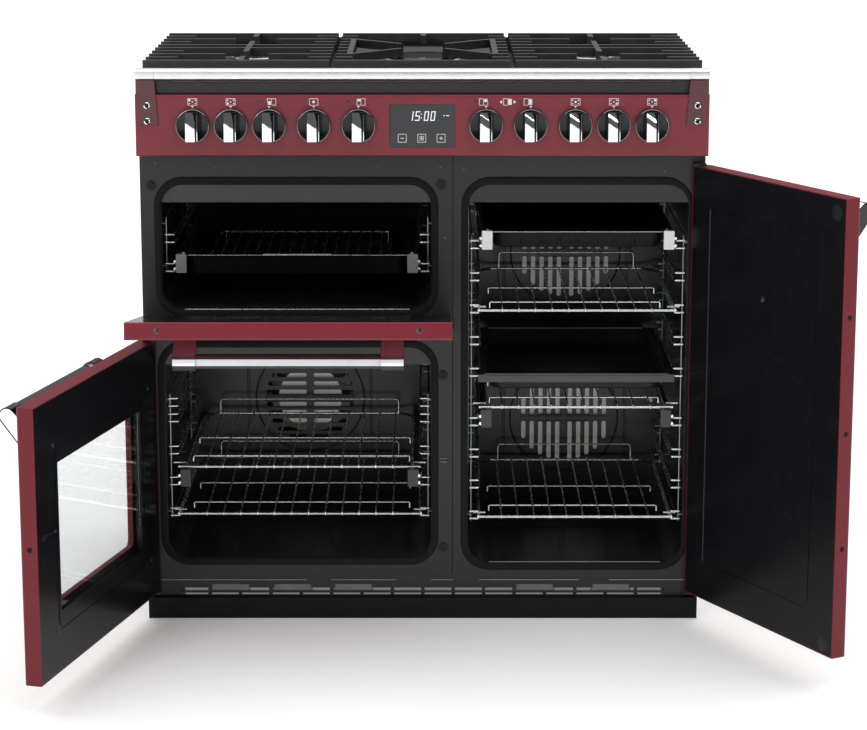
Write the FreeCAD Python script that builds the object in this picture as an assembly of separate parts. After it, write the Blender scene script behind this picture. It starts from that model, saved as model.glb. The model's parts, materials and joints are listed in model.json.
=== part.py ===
import FreeCAD, Part
import math
import os

from FreeCAD import Vector

os.makedirs("parts", exist_ok=True)

# Freestanding range cooker, in millimetres.
# Origin: centre of the footprint on the floor. +X right, -Y front, +Z up.
# Every door is drawn closed and then swung to its open rest position.

# ---- overall sizes ----
WIDTH = 900.0                # control panel and front rail, side to side
DEPTH = 600.0                # control panel face to rear panel
RAIL_TOP = 905.0             # floor to the top of the front rail
FRONT = -DEPTH / 2
BACK = DEPTH / 2

# ---- material thicknesses and clearances ----
SHEET = 1.5                  # pressed steel panels and liners
FRAME_T = 2.0                # front frame plate
WIRE = 5.0                   # rack and shelf wire
REST_GAP = 0.3               # clearance of pieces that lift off or slide
PIN_GAP = 0.1                # radial clearance of pins and spindles

# ---- plinth, cabinet and front frame ----
PLINTH_H = 35.0
PLINTH_SETBACK = 27.0
PLINTH_LEDGE = 18.0
CABINET_W = WIDTH - 1.0
BASE_Z = PLINTH_H + 35.0     # underside of the base tray
FRAME_RISE = 22.0            # front frame runs up behind the control panel
LEFT_COLUMN_W = 498.0        # left cabinet edge to the line between the columns

# ---- control panel, rail and hob ----
RAIL_H = 16.0
RAIL_D = 24.0
RAIL_CAP_W = 30.0
VENT_H = 23.5                # slotted band between rail and control panel
PANEL_H = 97.5
PANEL_FLANGE = 37.5
HOB_DROP = 23.0              # rail top to hob surface
HOB_T = 2.0
SUPPORT_RISE = 9.0           # pan supports above the rail

# ---- controls ----
KNOB_Z_FROM_TOP = 88.0       # rail top to the knob centres
KNOB_R = 26.5
KNOB_SKIRT_T = 9.0
KNOB_GAP = 1.0
GRIP_W = 20.0
GRIP_REACH = 18.0
GRIP_LEN = 47.0
GRIP_R = 3.5
SPINDLE_R = 4.0
SPINDLE_OUT = 20.0
TAP_XS = (-360.0, -300.0, 240.0, 300.0, 360.0)
SWITCH_XS = (-240.0, -170.0, -100.0, 100.0, 170.0)
DISPLAY_W = 103.0
DISPLAY_H = 68.0
DISPLAY_CENTRE = 89.0        # rail top to the middle of the display
DISPLAY_T = 4.0
PROUD = 0.8                  # display glass in front of the panel
HOUSING_INSET = 4.0
HOUSING_BACK = 28.0

# ---- doors ----
DOOR_SETBACK = 9.0
DOOR_T = 27.0
DOOR_WALL = 1.6
DOOR_TOP_GAP = 18.0
DOOR_SIDE_GAP = 0.5
COLUMN_GAP = 4.0
DOOR_FOOT_GAP = 11.0
DOOR_FRAME_GAP = 3.0         # closed door to the front frame
GRILL_DOOR_H = 280.0
DOOR_SPLIT = 4.0             # between grill door and lower door
HINGE_INSET = 10.0           # pivot to the hinge edge of a side-hung door
HINGE_FORWARD = 8.5          # pivot to the inner face of a side-hung door
HINGE_BACK_R = 5.0
FREE_EDGE_R = 5.0
PIN_R = 4.0
PIN_LEN = 13.0
LEFT_OPEN = 105.1            # degrees
RIGHT_OPEN = 119.0
GRILL_OPEN = 80.7
GRILL_PIVOT_SETBACK = 10.0
GRILL_PIVOT_RISE = 14.0
GRILL_LUG_T = 2.0
GRILL_PIN_R = 3.0
INNER_T = 2.0
SEAL_W = 7.0
SEAL_LIFT = 0.5

# ---- handles ----
HANDLE_REACH = 47.0
HANDLE_NOSE_R = 13.0
HANDLE_FALL = 28.0           # handle top to where its brackets meet the door
HANDLE_FOOT = 76.0           # handle top to the feet of its brackets
BRACKET_W = 34.5
BAR_THICK = 22.0             # front to back of the grip bar
BAR_INSET = 2.0              # bar inside the outline of its brackets
BAR_CHAMFER = 4.0
GRILL_HANDLE_DROP = 9.0      # door top to handle top
LEFT_HANDLE_DROP = 12.0
RIGHT_HANDLE_DROP = 14.0
GRILL_HANDLE_INSET = 74.0    # door edge to handle end
LEFT_HANDLE_FREE = 45.0      # free edge to handle end
LEFT_HANDLE_L = 352.0
RIGHT_HANDLE_FREE = 30.0
RIGHT_HANDLE_L = 325.0

# ---- left door window ----
WINDOW_HINGE_MARGIN = 80.0
WINDOW_FREE_MARGIN = 83.0
WINDOW_SILL = 92.0           # door bottom to the inner window opening
WINDOW_H = 228.0
SKIN_WINDOW_INSET = 7.5
WINDOW_R = 12.0
GLASS_T = 4.0
WINDOW_FLANGE = 9.0
GLASS_LAP = 12.0             # outer pane past the opening
INNER_GLASS_SETBACK = 4.0

# ---- oven cavities ----
CAVITY_R = 35.0
CAVITY_BACK = 500.0          # control panel face to the rear wall inside
BAFFLE_SETBACK = 450.0
APRON_H = 29.0
APRON_SETBACK = 5.0
LEFT_CAVITY_MARGIN = 33.0
LEFT_CAVITY_INNER = 34.5
TALL_CAVITY_MARGIN = 25.0
CAVITY_TOP_DROP = 33.0
GRILL_FLOOR_RISE = 43.6
LEFT_FLOOR_RISE = 53.3
LEFT_TOP_DROP = 14.0
TALL_FLOOR_RISE = 44.8
INSULATION_T = 14.0

# ---- racks and runners: sideways from the cavity wall, front to back from the front frame ----
POST_IN = 5.5
RUNG_REACH = 21.0
POST_PAST = 8.0              # posts past the end rungs
GRILL_POST_PAST = 30.0       # grill posts above the upper rung
RACK_FRONT = 19.0
RACK_BACK = 391.0
RUNG_PITCH = 12.5            # the two rungs of one shelf position
GRILL_RUNGS = (59.9, 107.4)  # lower rung above the cavity floor
LEFT_RUNGS = (67.4, 119.7, 172.0, 225.9, 252.0)
TALL_RUNGS = (70.2, 122.7, 175.0, 227.7, 310.2, 362.7, 415.2, 468.0, 520.7)
RAIL_LOW = 6.7               # runner above the lower rung
RAIL_HIGH = 26.7
FIXED_RAIL_T = 6.0
SLIDE_T = 6.5
BLOCK_W = 17.0
BLOCK_LOW = 2.5
BLOCK_HIGH = 33.5
BLOCK_FRONT = 1.5
BLOCK_D = 6.0
SHELF_INSET = 15.5
SHELF_FRONT = 9.5
SHELF_BACK = 386.0
SHELF_UPSTAND = 32.0
FENCE_INSET = 44.0
CARRIED_GAP = 0.6            # fixed rail to whatever a runner carries
PAN_DEPTH = 32.0
TRAY_DEPTH = 26.0
TIN_DEPTH = 25.0
TRAY_FRONT_IN = 9.0
TRAY_BACK_IN = 12.0

# ---- fans ----
FAN_R = 72.0
FAN_D = 26.0
FAN_OPENING_R = 93.6
FAN_SHAFT_R = 4.0
MOTOR_R = 38.0
MOTOR_D = 55.0
TALL_FAN_RISES = (145.6, 443.2)
LEFT_FAN_RISE = 173.0
ELEMENT_R = 90.0
ELEMENT_ROD = 3.5
TERMINAL_X = 12.0
LOOP_MARGIN = 60.0
LOOP_RUNS = 6
GRILL_ELEMENT_DROP = 14.0
LEFT_ELEMENT_DROP = 12.0
FAN_HUB_R = 12.0
FAN_PLATE_T = 1.5
FAN_BLADES = 12
BLADE_ROOT = 34.0
FAN_TO_WALL = 6.0
STAY_R = 6.0
STAY_SIDE = 60.0
STAY_LOW = 30.0
STAY_HIGH = 60.0

# ---- hob ----
SIDE_SUPPORT_GAP = 7.0
MIDDLE_SUPPORT_W = 280.0
SUPPORT_SIDE_MARGIN = 8.0
SUPPORT_FRONT = 48.0
SUPPORT_LEN = 450.0
BAR_W = 9.0
BAR_H = 14.0
SIDE_BAR_DROP = 6.0          # side bars below the tops of the ribs
RIB_OVERHANG = 5.0           # rib ends past the side bars
BURNER_ROWS = (150.0, 400.0)
WOK_SETBACK = 277.0
WOK_R = 65.0
BURNER_RS = {(-1, 0): 32.0, (-1, 1): 38.0, (1, 0): 24.0, (1, 1): 32.0}
BURNER_H = 13.0
BURNER_FLANGE = 6.0
BURNER_FLANGE_T = 3.0
MIXER_R = 15.0
MIXER_DROP = 18.0
CAP_H = 4.5
CAP_INSET = 3.0
BURNER_OUTSET = 6.5          # burners off the middle of a side support

# ---- worked out from the sizes above ----
CAB_X = CABINET_W / 2
HOB_Z = RAIL_TOP - HOB_DROP
RAIL_BOTTOM = RAIL_TOP - RAIL_H
PANEL_TOP = RAIL_BOTTOM - VENT_H
PANEL_BOTTOM = PANEL_TOP - PANEL_H
KNOB_Z = RAIL_TOP - KNOB_Z_FROM_TOP
DISPLAY_Z = RAIL_TOP - DISPLAY_CENTRE
DOOR_OUT = FRONT + DOOR_SETBACK
DOOR_IN = DOOR_OUT + DOOR_T
FRAME_Y = DOOR_IN + DOOR_FRAME_GAP
HINGE_EDGE_R = DOOR_T - HINGE_FORWARD   # rounded about the pivot, to clear the front frame
COLUMN_X = -CAB_X + LEFT_COLUMN_W
DOOR_TOP = PANEL_BOTTOM - DOOR_TOP_GAP
DOOR_BOTTOM = PLINTH_H + DOOR_FOOT_GAP
GRILL_DOOR_Z = DOOR_TOP - GRILL_DOOR_H
LEFT_DOOR_TOP = GRILL_DOOR_Z - DOOR_SPLIT
LEFT_DOOR_X0 = -CAB_X
LEFT_DOOR_X1 = COLUMN_X - COLUMN_GAP / 2
RIGHT_DOOR_X0 = COLUMN_X + COLUMN_GAP / 2
RIGHT_DOOR_X1 = CAB_X
PIVOT_Y = DOOR_IN - HINGE_FORWARD
LEFT_PIVOT_X = LEFT_DOOR_X0 + HINGE_INSET
RIGHT_PIVOT_X = RIGHT_DOOR_X1 - HINGE_INSET
GRILL_PIVOT_Y = FRONT + GRILL_PIVOT_SETBACK
GRILL_PIVOT_Z = GRILL_DOOR_Z + GRILL_PIVOT_RISE
LEFT_CX = (-CAB_X + LEFT_CAVITY_MARGIN, COLUMN_X - LEFT_CAVITY_INNER)
TALL_CX = (COLUMN_X + TALL_CAVITY_MARGIN, CAB_X - TALL_CAVITY_MARGIN)
CAVITY_TOP = DOOR_TOP - CAVITY_TOP_DROP
GRILL_CAVITY = (*LEFT_CX, GRILL_DOOR_Z + GRILL_FLOOR_RISE, CAVITY_TOP)
LEFT_CAVITY = (*LEFT_CX, DOOR_BOTTOM + LEFT_FLOOR_RISE, LEFT_DOOR_TOP - LEFT_TOP_DROP)
TALL_CAVITY = (*TALL_CX, DOOR_BOTTOM + TALL_FLOOR_RISE, CAVITY_TOP)
LINER_FRONT = FRAME_Y + FRAME_T
BAFFLE_Y = FRONT + BAFFLE_SETBACK
CAVITY_REAR = FRONT + CAVITY_BACK
SUPPORT_TOP = RAIL_TOP + SUPPORT_RISE
SIDE_SUPPORT_W = (WIDTH - MIDDLE_SUPPORT_W) / 2 - SUPPORT_SIDE_MARGIN - SIDE_SUPPORT_GAP
SIDE_SUPPORT_IN = MIDDLE_SUPPORT_W / 2 + SIDE_SUPPORT_GAP
SIDE_SUPPORT_X = SIDE_SUPPORT_IN + SIDE_SUPPORT_W / 2
BURNER_X = SIDE_SUPPORT_X - BURNER_OUTSET


# ---- shape helpers ----
PLACES = {
    "X": lambda a, b, c: Vector(c, a, b),
    "Y": lambda a, b, c: Vector(a, c, b),
    "Z": lambda a, b, c: Vector(a, b, c),
}


def box(x0, x1, y0, y1, z0, z1):
    """Box between two corners."""
    return Part.makeBox(x1 - x0, y1 - y0, z1 - z0, Vector(x0, y0, z0))


def rod(start, direction, radius, length):
    """Round bar from a point along a direction."""
    return Part.makeCylinder(radius, length, Vector(*start), Vector(*direction))


def outline(points, radii, place):
    """Closed wire through flat points, each corner rounded to its radius."""
    count = len(points)
    flat = [Vector(a, b, 0) for a, b in points]
    starts, middles, ends = [], [], []
    for i, corner in enumerate(flat):
        before = (flat[i - 1] - corner).normalize()
        after = (flat[(i + 1) % count] - corner).normalize()
        half = before.getAngle(after) / 2
        trim = radii[i] / math.tan(half)
        inward = (before + after).normalize()
        centre = corner + inward * (radii[i] / math.sin(half))
        starts.append(corner + before * trim)
        middles.append(centre - inward * radii[i])
        ends.append(corner + after * trim)
    edges = []
    for i in range(count):
        following = starts[(i + 1) % count]
        if radii[i] > 0:
            edges.append(Part.Arc(place(starts[i]), place(middles[i]), place(ends[i])).toShape())
        if (following - ends[i]).Length > 1e-6:
            edges.append(Part.LineSegment(place(ends[i]), place(following)).toShape())
    return Part.Wire(edges)


def prism(axis, points, radii, c0, c1):
    """Flat outline pushed along an axis from c0 to c1."""
    to_space = PLACES[axis]
    wire = outline(points, radii, lambda p: to_space(p.x, p.y, c0))
    return Part.Face(wire).extrude(to_space(0, 0, c1) - to_space(0, 0, 0) - to_space(0, 0, c0))


def rounded(axis, a0, a1, b0, b1, radius, c0, c1):
    """Bar of rounded rectangular section along an axis."""
    corners = [(a0, b0), (a1, b0), (a1, b1), (a0, b1)]
    return prism(axis, corners, [radius] * 4, c0, c1)


def fused(shapes):
    """One solid made of several that overlap or touch."""
    return shapes[0].fuse(shapes[1:]).removeSplitter() if len(shapes) > 1 else shapes[0]


def cavity_bar(cavity, grow, y0, y1):
    """Cavity outline, grown all round, as a bar along Y."""
    x0, x1, z0, z1 = cavity
    return rounded("Y", x0 - grow, x1 + grow, z0 - grow, z1 + grow, CAVITY_R + grow, y0, y1)


def swung(shape, point, axis, degrees):
    """Copy of a shape turned about an axis."""
    turned = shape.copy()
    turned.rotate(Vector(*point), Vector(*axis), degrees)
    return turned


def mirrored(shape):
    """Copy of a shape on the other side of the middle plane."""
    return shape.mirror(Vector(0, 0, 0), Vector(1, 0, 0))


NODES = {}


def node(name, shapes):
    """Keep the solids of one named piece."""
    solids = [solid for shape in shapes for solid in shape.Solids]
    NODES[name] = Part.Compound(solids)


# ---- cabinet ----
def plinth():
    """Four low walls with a ledge that carries the cabinet."""
    half = WIDTH / 2
    y0 = FRONT + PLINTH_SETBACK
    ledge = PLINTH_LEDGE
    outer = box(-half, half, y0, BACK, 0, PLINTH_H)
    room = box(-half + FRAME_T, half - FRAME_T, y0 + FRAME_T, BACK - FRAME_T, -1, PLINTH_H - FRAME_T)
    top = box(-half + ledge, half - ledge, y0 + ledge, BACK - ledge, 0, PLINTH_H + 1)
    return outer.cut(room).cut(top)


FOOT_X = WIDTH / 2 - 50.0
FOOT_YS = (FRONT + 90.0, BACK - 50.0)
FOOT_R = 16.0
FOOT_PAD_T = 8.0
STEM_R = 5.0
STEM_TOP = BASE_Z - 6.0
BOSS_R = 11.0
BOSS_BOTTOM = BASE_Z - 28.0


def feet():
    """Four screw feet, all wound fully in."""
    pieces = []
    for x in (-FOOT_X, FOOT_X):
        for y in FOOT_YS:
            pad = rod((x, y, 0), (0, 0, 1), FOOT_R, FOOT_PAD_T)
            stem = rod((x, y, 0), (0, 0, 1), STEM_R, STEM_TOP)
            pieces.append(pad.fuse(stem).removeSplitter())
    return pieces


TAB_XS = (-316.0, -214.0, -114.0, 184.0, 309.0)
TAB_W = 60.0
TAB_LAP = 3.0                # deflector behind the strip, past each tab opening
TAB_Z = (PLINTH_H + 8.5, PLINTH_H + 19.5)
VENT_SLOT_PITCH = 50.0
VENT_SLOT_L = 44.0
VENT_ROWS = ((1.5, 5.0), (8.5, 13.5))   # heights above the plinth


def base_tray():
    """Floor of the cabinet with foot bosses and front deflector tabs."""
    x = CAB_X - SHEET
    tray = box(-x, x, LINER_FRONT, BACK - SHEET, BASE_Z, BASE_Z + SHEET)
    extras = []
    for fx in (-FOOT_X, FOOT_X):
        for fy in FOOT_YS:
            extras.append(rod((fx, fy, BOSS_BOTTOM), (0, 0, 1), BOSS_R, BASE_Z - BOSS_BOTTOM))
    for tx in TAB_XS:
        half = TAB_W / 2 + TAB_LAP
        low = TAB_Z[0] - TAB_LAP
        extras.append(box(tx - half, tx + half, LINER_FRONT, LINER_FRONT + SHEET, low, BASE_Z))
    tray = tray.fuse(extras).removeSplitter()
    bores = []
    for fx in (-FOOT_X, FOOT_X):
        for fy in FOOT_YS:
            bores.append(rod((fx, fy, BOSS_BOTTOM - 1), (0, 0, 1), STEM_R + PIN_GAP, BASE_Z))
    return tray.cut(bores)


def side_panel():
    """Left cabinet side."""
    return box(-CAB_X, -CAB_X + SHEET, LINER_FRONT, BACK - SHEET, PLINTH_H, HOB_Z - HOB_T)


INLET_X = 380.0
INLET_Z = RAIL_TOP - 75.0
INLET_HALF = 16.0
INLET_BORE_R = 9.3
INLET_BORE_L = 15.0
GLAND_X = -380.0
GLAND_R = 12.0
GLAND_BORE_R = 5.5
GLAND_L = 20.0
BACK_SLOT_ROWS = 4
BACK_SLOT_COLUMNS = 5         # each side of the middle
BACK_SLOT_L = 44.0
BACK_SLOT_H = 4.0
BACK_SLOT_PITCH = 60.0
BACK_ROW_PITCH = 14.0
BACK_SLOT_DROP = 60.0        # hob to the top row


def back_panel():
    """Rear sheet with holes for the gas inlet and the cable gland."""
    sheet = box(-CAB_X, CAB_X, BACK - SHEET, BACK, PLINTH_H, HOB_Z - HOB_T)
    half = INLET_HALF + 1
    inlet = box(INLET_X - half, INLET_X + half, 0, BACK + 1, INLET_Z - half, INLET_Z + half)
    gland = rod((GLAND_X, 0, INLET_Z), (0, 1, 0), GLAND_R + 0.5, BACK + 1)
    half = BACK_SLOT_L / 2
    slots = []
    for row in range(BACK_SLOT_ROWS):
        for column in range(-BACK_SLOT_COLUMNS, BACK_SLOT_COLUMNS + 1):
            x = column * BACK_SLOT_PITCH
            z = HOB_Z - BACK_SLOT_DROP - row * BACK_ROW_PITCH
            slots.append(box(x - half, x + half, BACK - 2 * SHEET, BACK + 1, z, z + BACK_SLOT_H))
    return sheet.cut([inlet, gland] + slots)


SPLIT_W = 1.2                # joint line between the two columns
SPLIT_DEEP = 0.8


def front_frame():
    """Face plate with the three cavity openings."""
    top = PANEL_BOTTOM + FRAME_RISE
    plate = box(-CAB_X, CAB_X, FRAME_Y, FRAME_Y + FRAME_T, BASE_Z, top)
    cuts = [cavity_bar(c, 0, FRAME_Y - 1, FRAME_Y + FRAME_T + 1)
            for c in (GRILL_CAVITY, LEFT_CAVITY, TALL_CAVITY)]
    half = SPLIT_W / 2
    split = box(COLUMN_X - half, COLUMN_X + half, FRAME_Y - 1, FRAME_Y + SPLIT_DEEP, BASE_Z - 1, top + 1)
    return plate.cut(cuts + [split])


def base_vent():
    """Slotted strip under the doors."""
    strip = box(-CAB_X, CAB_X, FRAME_Y, FRAME_Y + FRAME_T, PLINTH_H, BASE_Z)
    cuts = []
    columns = int(CABINET_W / VENT_SLOT_PITCH / 2)
    for column in range(-columns, columns):
        x = (column + 0.5) * VENT_SLOT_PITCH
        for low, high in VENT_ROWS:
            half = VENT_SLOT_L / 2
            z = PLINTH_H + low
            cuts.append(box(x - half, x + half, FRAME_Y - 1, FRAME_Y + FRAME_T + 1, z, PLINTH_H + high))
    for tx in TAB_XS:
        cuts.append(box(tx - TAB_W / 2, tx + TAB_W / 2, FRAME_Y - 1, FRAME_Y + FRAME_T + 1, *TAB_Z))
    return strip.cut(cuts)


# ---- cavities ----
def liner(cavity, fan_centres):
    """Enamelled oven box, open at the front, with an apron under its top edge."""
    outer = cavity_bar(cavity, SHEET, LINER_FRONT, CAVITY_REAR + SHEET)
    inner = cavity_bar(cavity, 0, LINER_FRONT - 1, CAVITY_REAR)
    y = LINER_FRONT + APRON_SETBACK
    x0, x1, z0, z1 = cavity
    apron = cavity_bar(cavity, SHEET / 2, y, y + SHEET)
    apron = apron.common(box(x0 - 9, x1 + 9, y - 1, y + 9, z1 - APRON_H, z1 + 9))
    shell = outer.cut(inner).fuse(apron).removeSplitter()
    holes = [rod((x, CAVITY_REAR - 5, z), (0, 1, 0), FAN_SHAFT_R + PIN_GAP, 20) for x, z in fan_centres]
    return shell.cut(holes) if holes else shell


LEFT_MID = sum(LEFT_CX) / 2
TALL_MID = sum(TALL_CX) / 2
LEFT_FANS = [(LEFT_MID, LEFT_CAVITY[2] + LEFT_FAN_RISE)]
TALL_FANS = [(TALL_MID, TALL_CAVITY[2] + rise) for rise in TALL_FAN_RISES]


def insulation(cavity, fan_centres):
    """Mineral wool wrap round one cavity."""
    outer = cavity_bar(cavity, SHEET + INSULATION_T, LINER_FRONT + 4, CAVITY_REAR + SHEET + INSULATION_T)
    inner = cavity_bar(cavity, SHEET, LINER_FRONT, CAVITY_REAR + SHEET)
    holes = [rod((x, CAVITY_REAR, z), (0, 1, 0), MOTOR_R + 2, 60) for x, z in fan_centres]
    return outer.cut([inner] + holes)


def seal(cavity):
    """Flat rope seal round one opening."""
    y0 = DOOR_IN + REST_GAP
    outer = cavity_bar(cavity, SEAL_LIFT + SEAL_W, y0, FRAME_Y)
    return outer.cut(cavity_bar(cavity, SEAL_LIFT, y0 - 1, FRAME_Y + 1))


RIB_W = 6.0
RIB_T = 3.0
SLOT_W = 7.7
SLOT_PITCH = 15.1
SLOT_FIRST = 7.2
SLOT_STEPS = 5
SLOT_MARGIN = 16.0           # guard circle to the slot ends
GROOVE_W = 3.0
GROOVE_DEEP = 0.7


def baffle(cavity, fan_centres, upright):
    """False back with a slotted guard in front of each fan."""
    plate = cavity_bar(cavity, -REST_GAP, BAFFLE_Y, BAFFLE_Y + SHEET)
    stays = []
    x0, x1, z0, z1 = cavity
    start = BAFFLE_Y + SHEET / 2
    for x in (x0 + STAY_SIDE, x1 - STAY_SIDE):
        for z in (z0 + STAY_LOW, z1 - STAY_HIGH):
            stays.append(rod((x, start, z), (0, 1, 0), STAY_R, CAVITY_REAR - start))
    ribs = []
    cuts = []
    reach = FAN_OPENING_R - SLOT_MARGIN
    for fx, fz in fan_centres:
        for step in range(SLOT_STEPS):
            near = SLOT_FIRST + step * SLOT_PITCH
            length = math.sqrt(reach * reach - near * near)
            for side in (-1, 1):
                low = near if side > 0 else -near - SLOT_W
                for a0, a1 in ((RIB_W, length), (-length, -RIB_W)):
                    if upright:
                        spot = (fx + low, fx + low + SLOT_W, fz + a0, fz + a1)
                    else:
                        spot = (fx + a0, fx + a1, fz + low, fz + low + SLOT_W)
                    cuts.append(rounded("Y", *spot, SLOT_W / 2 - 0.2, BAFFLE_Y - 1, BAFFLE_Y + 9))
        ring = rod((fx, BAFFLE_Y - 1, fz), (0, 1, 0), FAN_OPENING_R, 1 + GROOVE_DEEP)
        cuts.append(ring.cut(rod((fx, BAFFLE_Y - 2, fz), (0, 1, 0), FAN_OPENING_R - GROOVE_W, 9)))
        half = RIB_W / 2
        ribs.append(box(fx - half, fx + half, BAFFLE_Y - RIB_T, BAFFLE_Y, fz - reach, fz + reach))
        ribs.append(box(fx - reach, fx + reach, BAFFLE_Y - RIB_T, BAFFLE_Y, fz - half, fz + half))
    return plate.cut(cuts).fuse(ribs + stays).removeSplitter()


def fan(fx, fz):
    """Bladed rotor on its shaft, carried by the motor behind the cavity."""
    y1 = CAVITY_REAR - FAN_TO_WALL
    y0 = y1 - FAN_D
    half = FAN_PLATE_T / 2
    parts = [rod((fx, y1 - FAN_PLATE_T, fz), (0, 1, 0), FAN_R, FAN_PLATE_T),
             rod((fx, y0 + 4, fz), (0, 1, 0), FAN_HUB_R, FAN_D - 4),
             rod((fx, y0 + 6, fz), (0, 1, 0), FAN_SHAFT_R, FAN_D + 30)]
    blade = box(fx + BLADE_ROOT, fx + FAN_R - 2, y0, y1 - half, fz - half, fz + half)
    for i in range(FAN_BLADES):
        parts.append(swung(blade, (fx, 0, fz), (0, 1, 0), i * 360.0 / FAN_BLADES))
    return fused(parts)


def motor(fx, fz):
    """Fan motor on the rear wall, bored for the shaft."""
    y = CAVITY_REAR + SHEET
    case = rod((fx, y, fz), (0, 1, 0), MOTOR_R, MOTOR_D)
    tail = rod((fx, y, fz), (0, 1, 0), FAN_HUB_R, MOTOR_D + FAN_HUB_R)
    bore = rod((fx, y - 1, fz), (0, 1, 0), FAN_SHAFT_R + PIN_GAP, MOTOR_D)
    return case.fuse(tail).removeSplitter().cut(bore)


def ring_element(fx, fz):
    """Round heating element about one fan, on two terminals."""
    y = CAVITY_REAR - 20.0
    ring = Part.makeTorus(ELEMENT_R, ELEMENT_ROD, Vector(fx, y, fz), Vector(0, 1, 0))
    z = fz + math.sqrt(ELEMENT_R ** 2 - TERMINAL_X ** 2)
    ends = [rod((fx + s * TERMINAL_X, y, z), (0, 1, 0), ELEMENT_ROD - 0.5, CAVITY_REAR - y) for s in (-1, 1)]
    return fused([ring] + ends)


def loop_element(cavity, drop):
    """Radiant element hung from a cavity's ceiling."""
    x0, x1, z0, z1 = cavity
    z = z1 - drop
    y0, y1 = FRONT + LOOP_MARGIN + 40.0, BAFFLE_Y - 40.0
    left, right = x0 + LOOP_MARGIN, x1 - LOOP_MARGIN
    step = (right - left) / (LOOP_RUNS - 1)
    wide = ELEMENT_ROD + 0.5
    runs = [rod((left + i * step, y0, z), (0, 1, 0), ELEMENT_ROD, y1 - y0) for i in range(LOOP_RUNS)]
    cross = [box(left - wide, right + wide, y - wide, y + wide, z - wide, z + wide) for y in (y0, y1)]
    hangers = [rod((x, y, z), (0, 0, 1), ELEMENT_ROD - 1, drop) for x in (left, right) for y in (y0, y1)]
    return fused(runs + cross + hangers)


# ---- racks, runners and shelves ----
def side_rack(wall_x, inward, floor_z, rungs, past_top):
    """Wire ladder on one cavity wall, with a pair of rungs for each shelf position."""
    def across(near, far):
        return sorted((wall_x + inward * near, wall_x + inward * far))
    y0, y1 = FRAME_Y + RACK_FRONT, FRAME_Y + RACK_BACK
    low = floor_z + rungs[0] - POST_PAST
    high = floor_z + rungs[-1] + RUNG_PITCH + past_top
    post = across(POST_IN, POST_IN + WIRE)
    parts = []
    for y in (y0, y1 - WIRE):
        parts.append(box(*post, y, y + WIRE, low, high))
        for z in (low, high - WIRE):
            parts.append(box(*across(0, POST_IN + 1), y, y + WIRE, z, z + WIRE))
    reach = across(POST_IN, RUNG_REACH)
    gap = across(POST_IN - 1, RUNG_REACH - WIRE)
    for rung in rungs:
        for z in (floor_z + rung, floor_z + rung + RUNG_PITCH):
            loop = box(*reach, y0, y1, z - WIRE / 2, z + WIRE / 2)
            parts.append(loop.cut(box(*gap, y0 + WIRE, y1 - WIRE, z - WIRE, z + WIRE)))
    return fused(parts)


def both_racks(cavity, rungs, past_top=POST_PAST):
    """Ladders on both walls of a cavity."""
    return [side_rack(wall, inward, cavity[2], rungs, past_top)
            for wall, inward in ((cavity[0], 1), (cavity[1], -1))]


def fixed_rails(cavity, rung):
    """Fixed members of a pair of telescopic runners, clipped to the rungs."""
    z = cavity[2] + rung
    near, far = RUNG_REACH, RUNG_REACH + FIXED_RAIL_T
    y0, y1 = FRAME_Y + BLOCK_FRONT + BLOCK_D + 3, FRAME_Y + RACK_BACK
    return [box(*sorted((wall + s * near, wall + s * far)), y0, y1, z + RAIL_LOW, z + RAIL_HIGH)
            for wall, s in ((cavity[0], 1), (cavity[1], -1))]


def slides(cavity, rung):
    """Moving members of a pair of telescopic runners, each with a front stop block."""
    z = cavity[2] + rung
    near = RUNG_REACH + FIXED_RAIL_T + REST_GAP
    y0 = FRAME_Y + BLOCK_FRONT
    pieces = []
    for wall, s in ((cavity[0], 1), (cavity[1], -1)):
        arm = box(*sorted((wall + s * near, wall + s * (near + SLIDE_T))), y0 + 1, FRAME_Y + RACK_BACK,
                  z + RAIL_LOW, z + RAIL_HIGH)
        block_x = sorted((wall + s * (RUNG_REACH + 0.5), wall + s * (RUNG_REACH + 0.5 + BLOCK_W)))
        block = box(*block_x, y0, y0 + BLOCK_D, z + BLOCK_LOW, z + BLOCK_HIGH)
        pieces.append(arm.fuse(block).removeSplitter())
    return pieces


def lattice(x0, x1, y0, y1, z, thick, long_wires, cross_wires):
    """Flat wire grid as one solid: a frame with bars across it."""
    grid = box(x0, x1, y0, y1, z, z + thick)
    step_x = (x1 - x0 - thick) / (long_wires + 1)
    step_y = (y1 - y0 - thick) / (cross_wires + 1)
    gaps = []
    for i in range(long_wires + 1):
        for j in range(cross_wires + 1):
            ax = x0 + i * step_x + thick
            ay = y0 + j * step_y + thick
            gaps.append(box(ax, ax + step_x - thick, ay, ay + step_y - thick, z - 1, z + thick + 1))
    return grid.cut(gaps)


def shelf(cavity, inset, z, long_wires):
    """Wire shelf with a low fence along its back."""
    x0, x1 = cavity[0] + inset, cavity[1] - inset
    y0, y1 = FRAME_Y + SHELF_FRONT, FRAME_Y + SHELF_BACK
    grid = lattice(x0, x1, y0, y1, z, WIRE, long_wires, 3)
    a0, a1 = x0 + FENCE_INSET, x1 - FENCE_INSET
    top = z + SHELF_UPSTAND
    fence = box(a0, a1, y1 - WIRE, y1, z + WIRE, top)
    gap = box(a0 + WIRE, a1 - WIRE, y1 - 2 * WIRE, y1 + 1, z + 2 * WIRE, top - WIRE)
    return [grid, fence.cut(gap)]


def free_shelf(cavity, rung, long_wires):
    """Shelf that lies on the lower rungs of one position."""
    z = cavity[2] + rung + WIRE / 2 + REST_GAP
    return shelf(cavity, SHELF_INSET, z, long_wires)


def runner_shelf(cavity, rung, long_wires):
    """Shelf that lies on a pair of telescopic runners."""
    z = cavity[2] + rung + RAIL_HIGH + REST_GAP
    return shelf(cavity, RUNG_REACH + FIXED_RAIL_T + CARRIED_GAP, z, long_wires)


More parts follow.
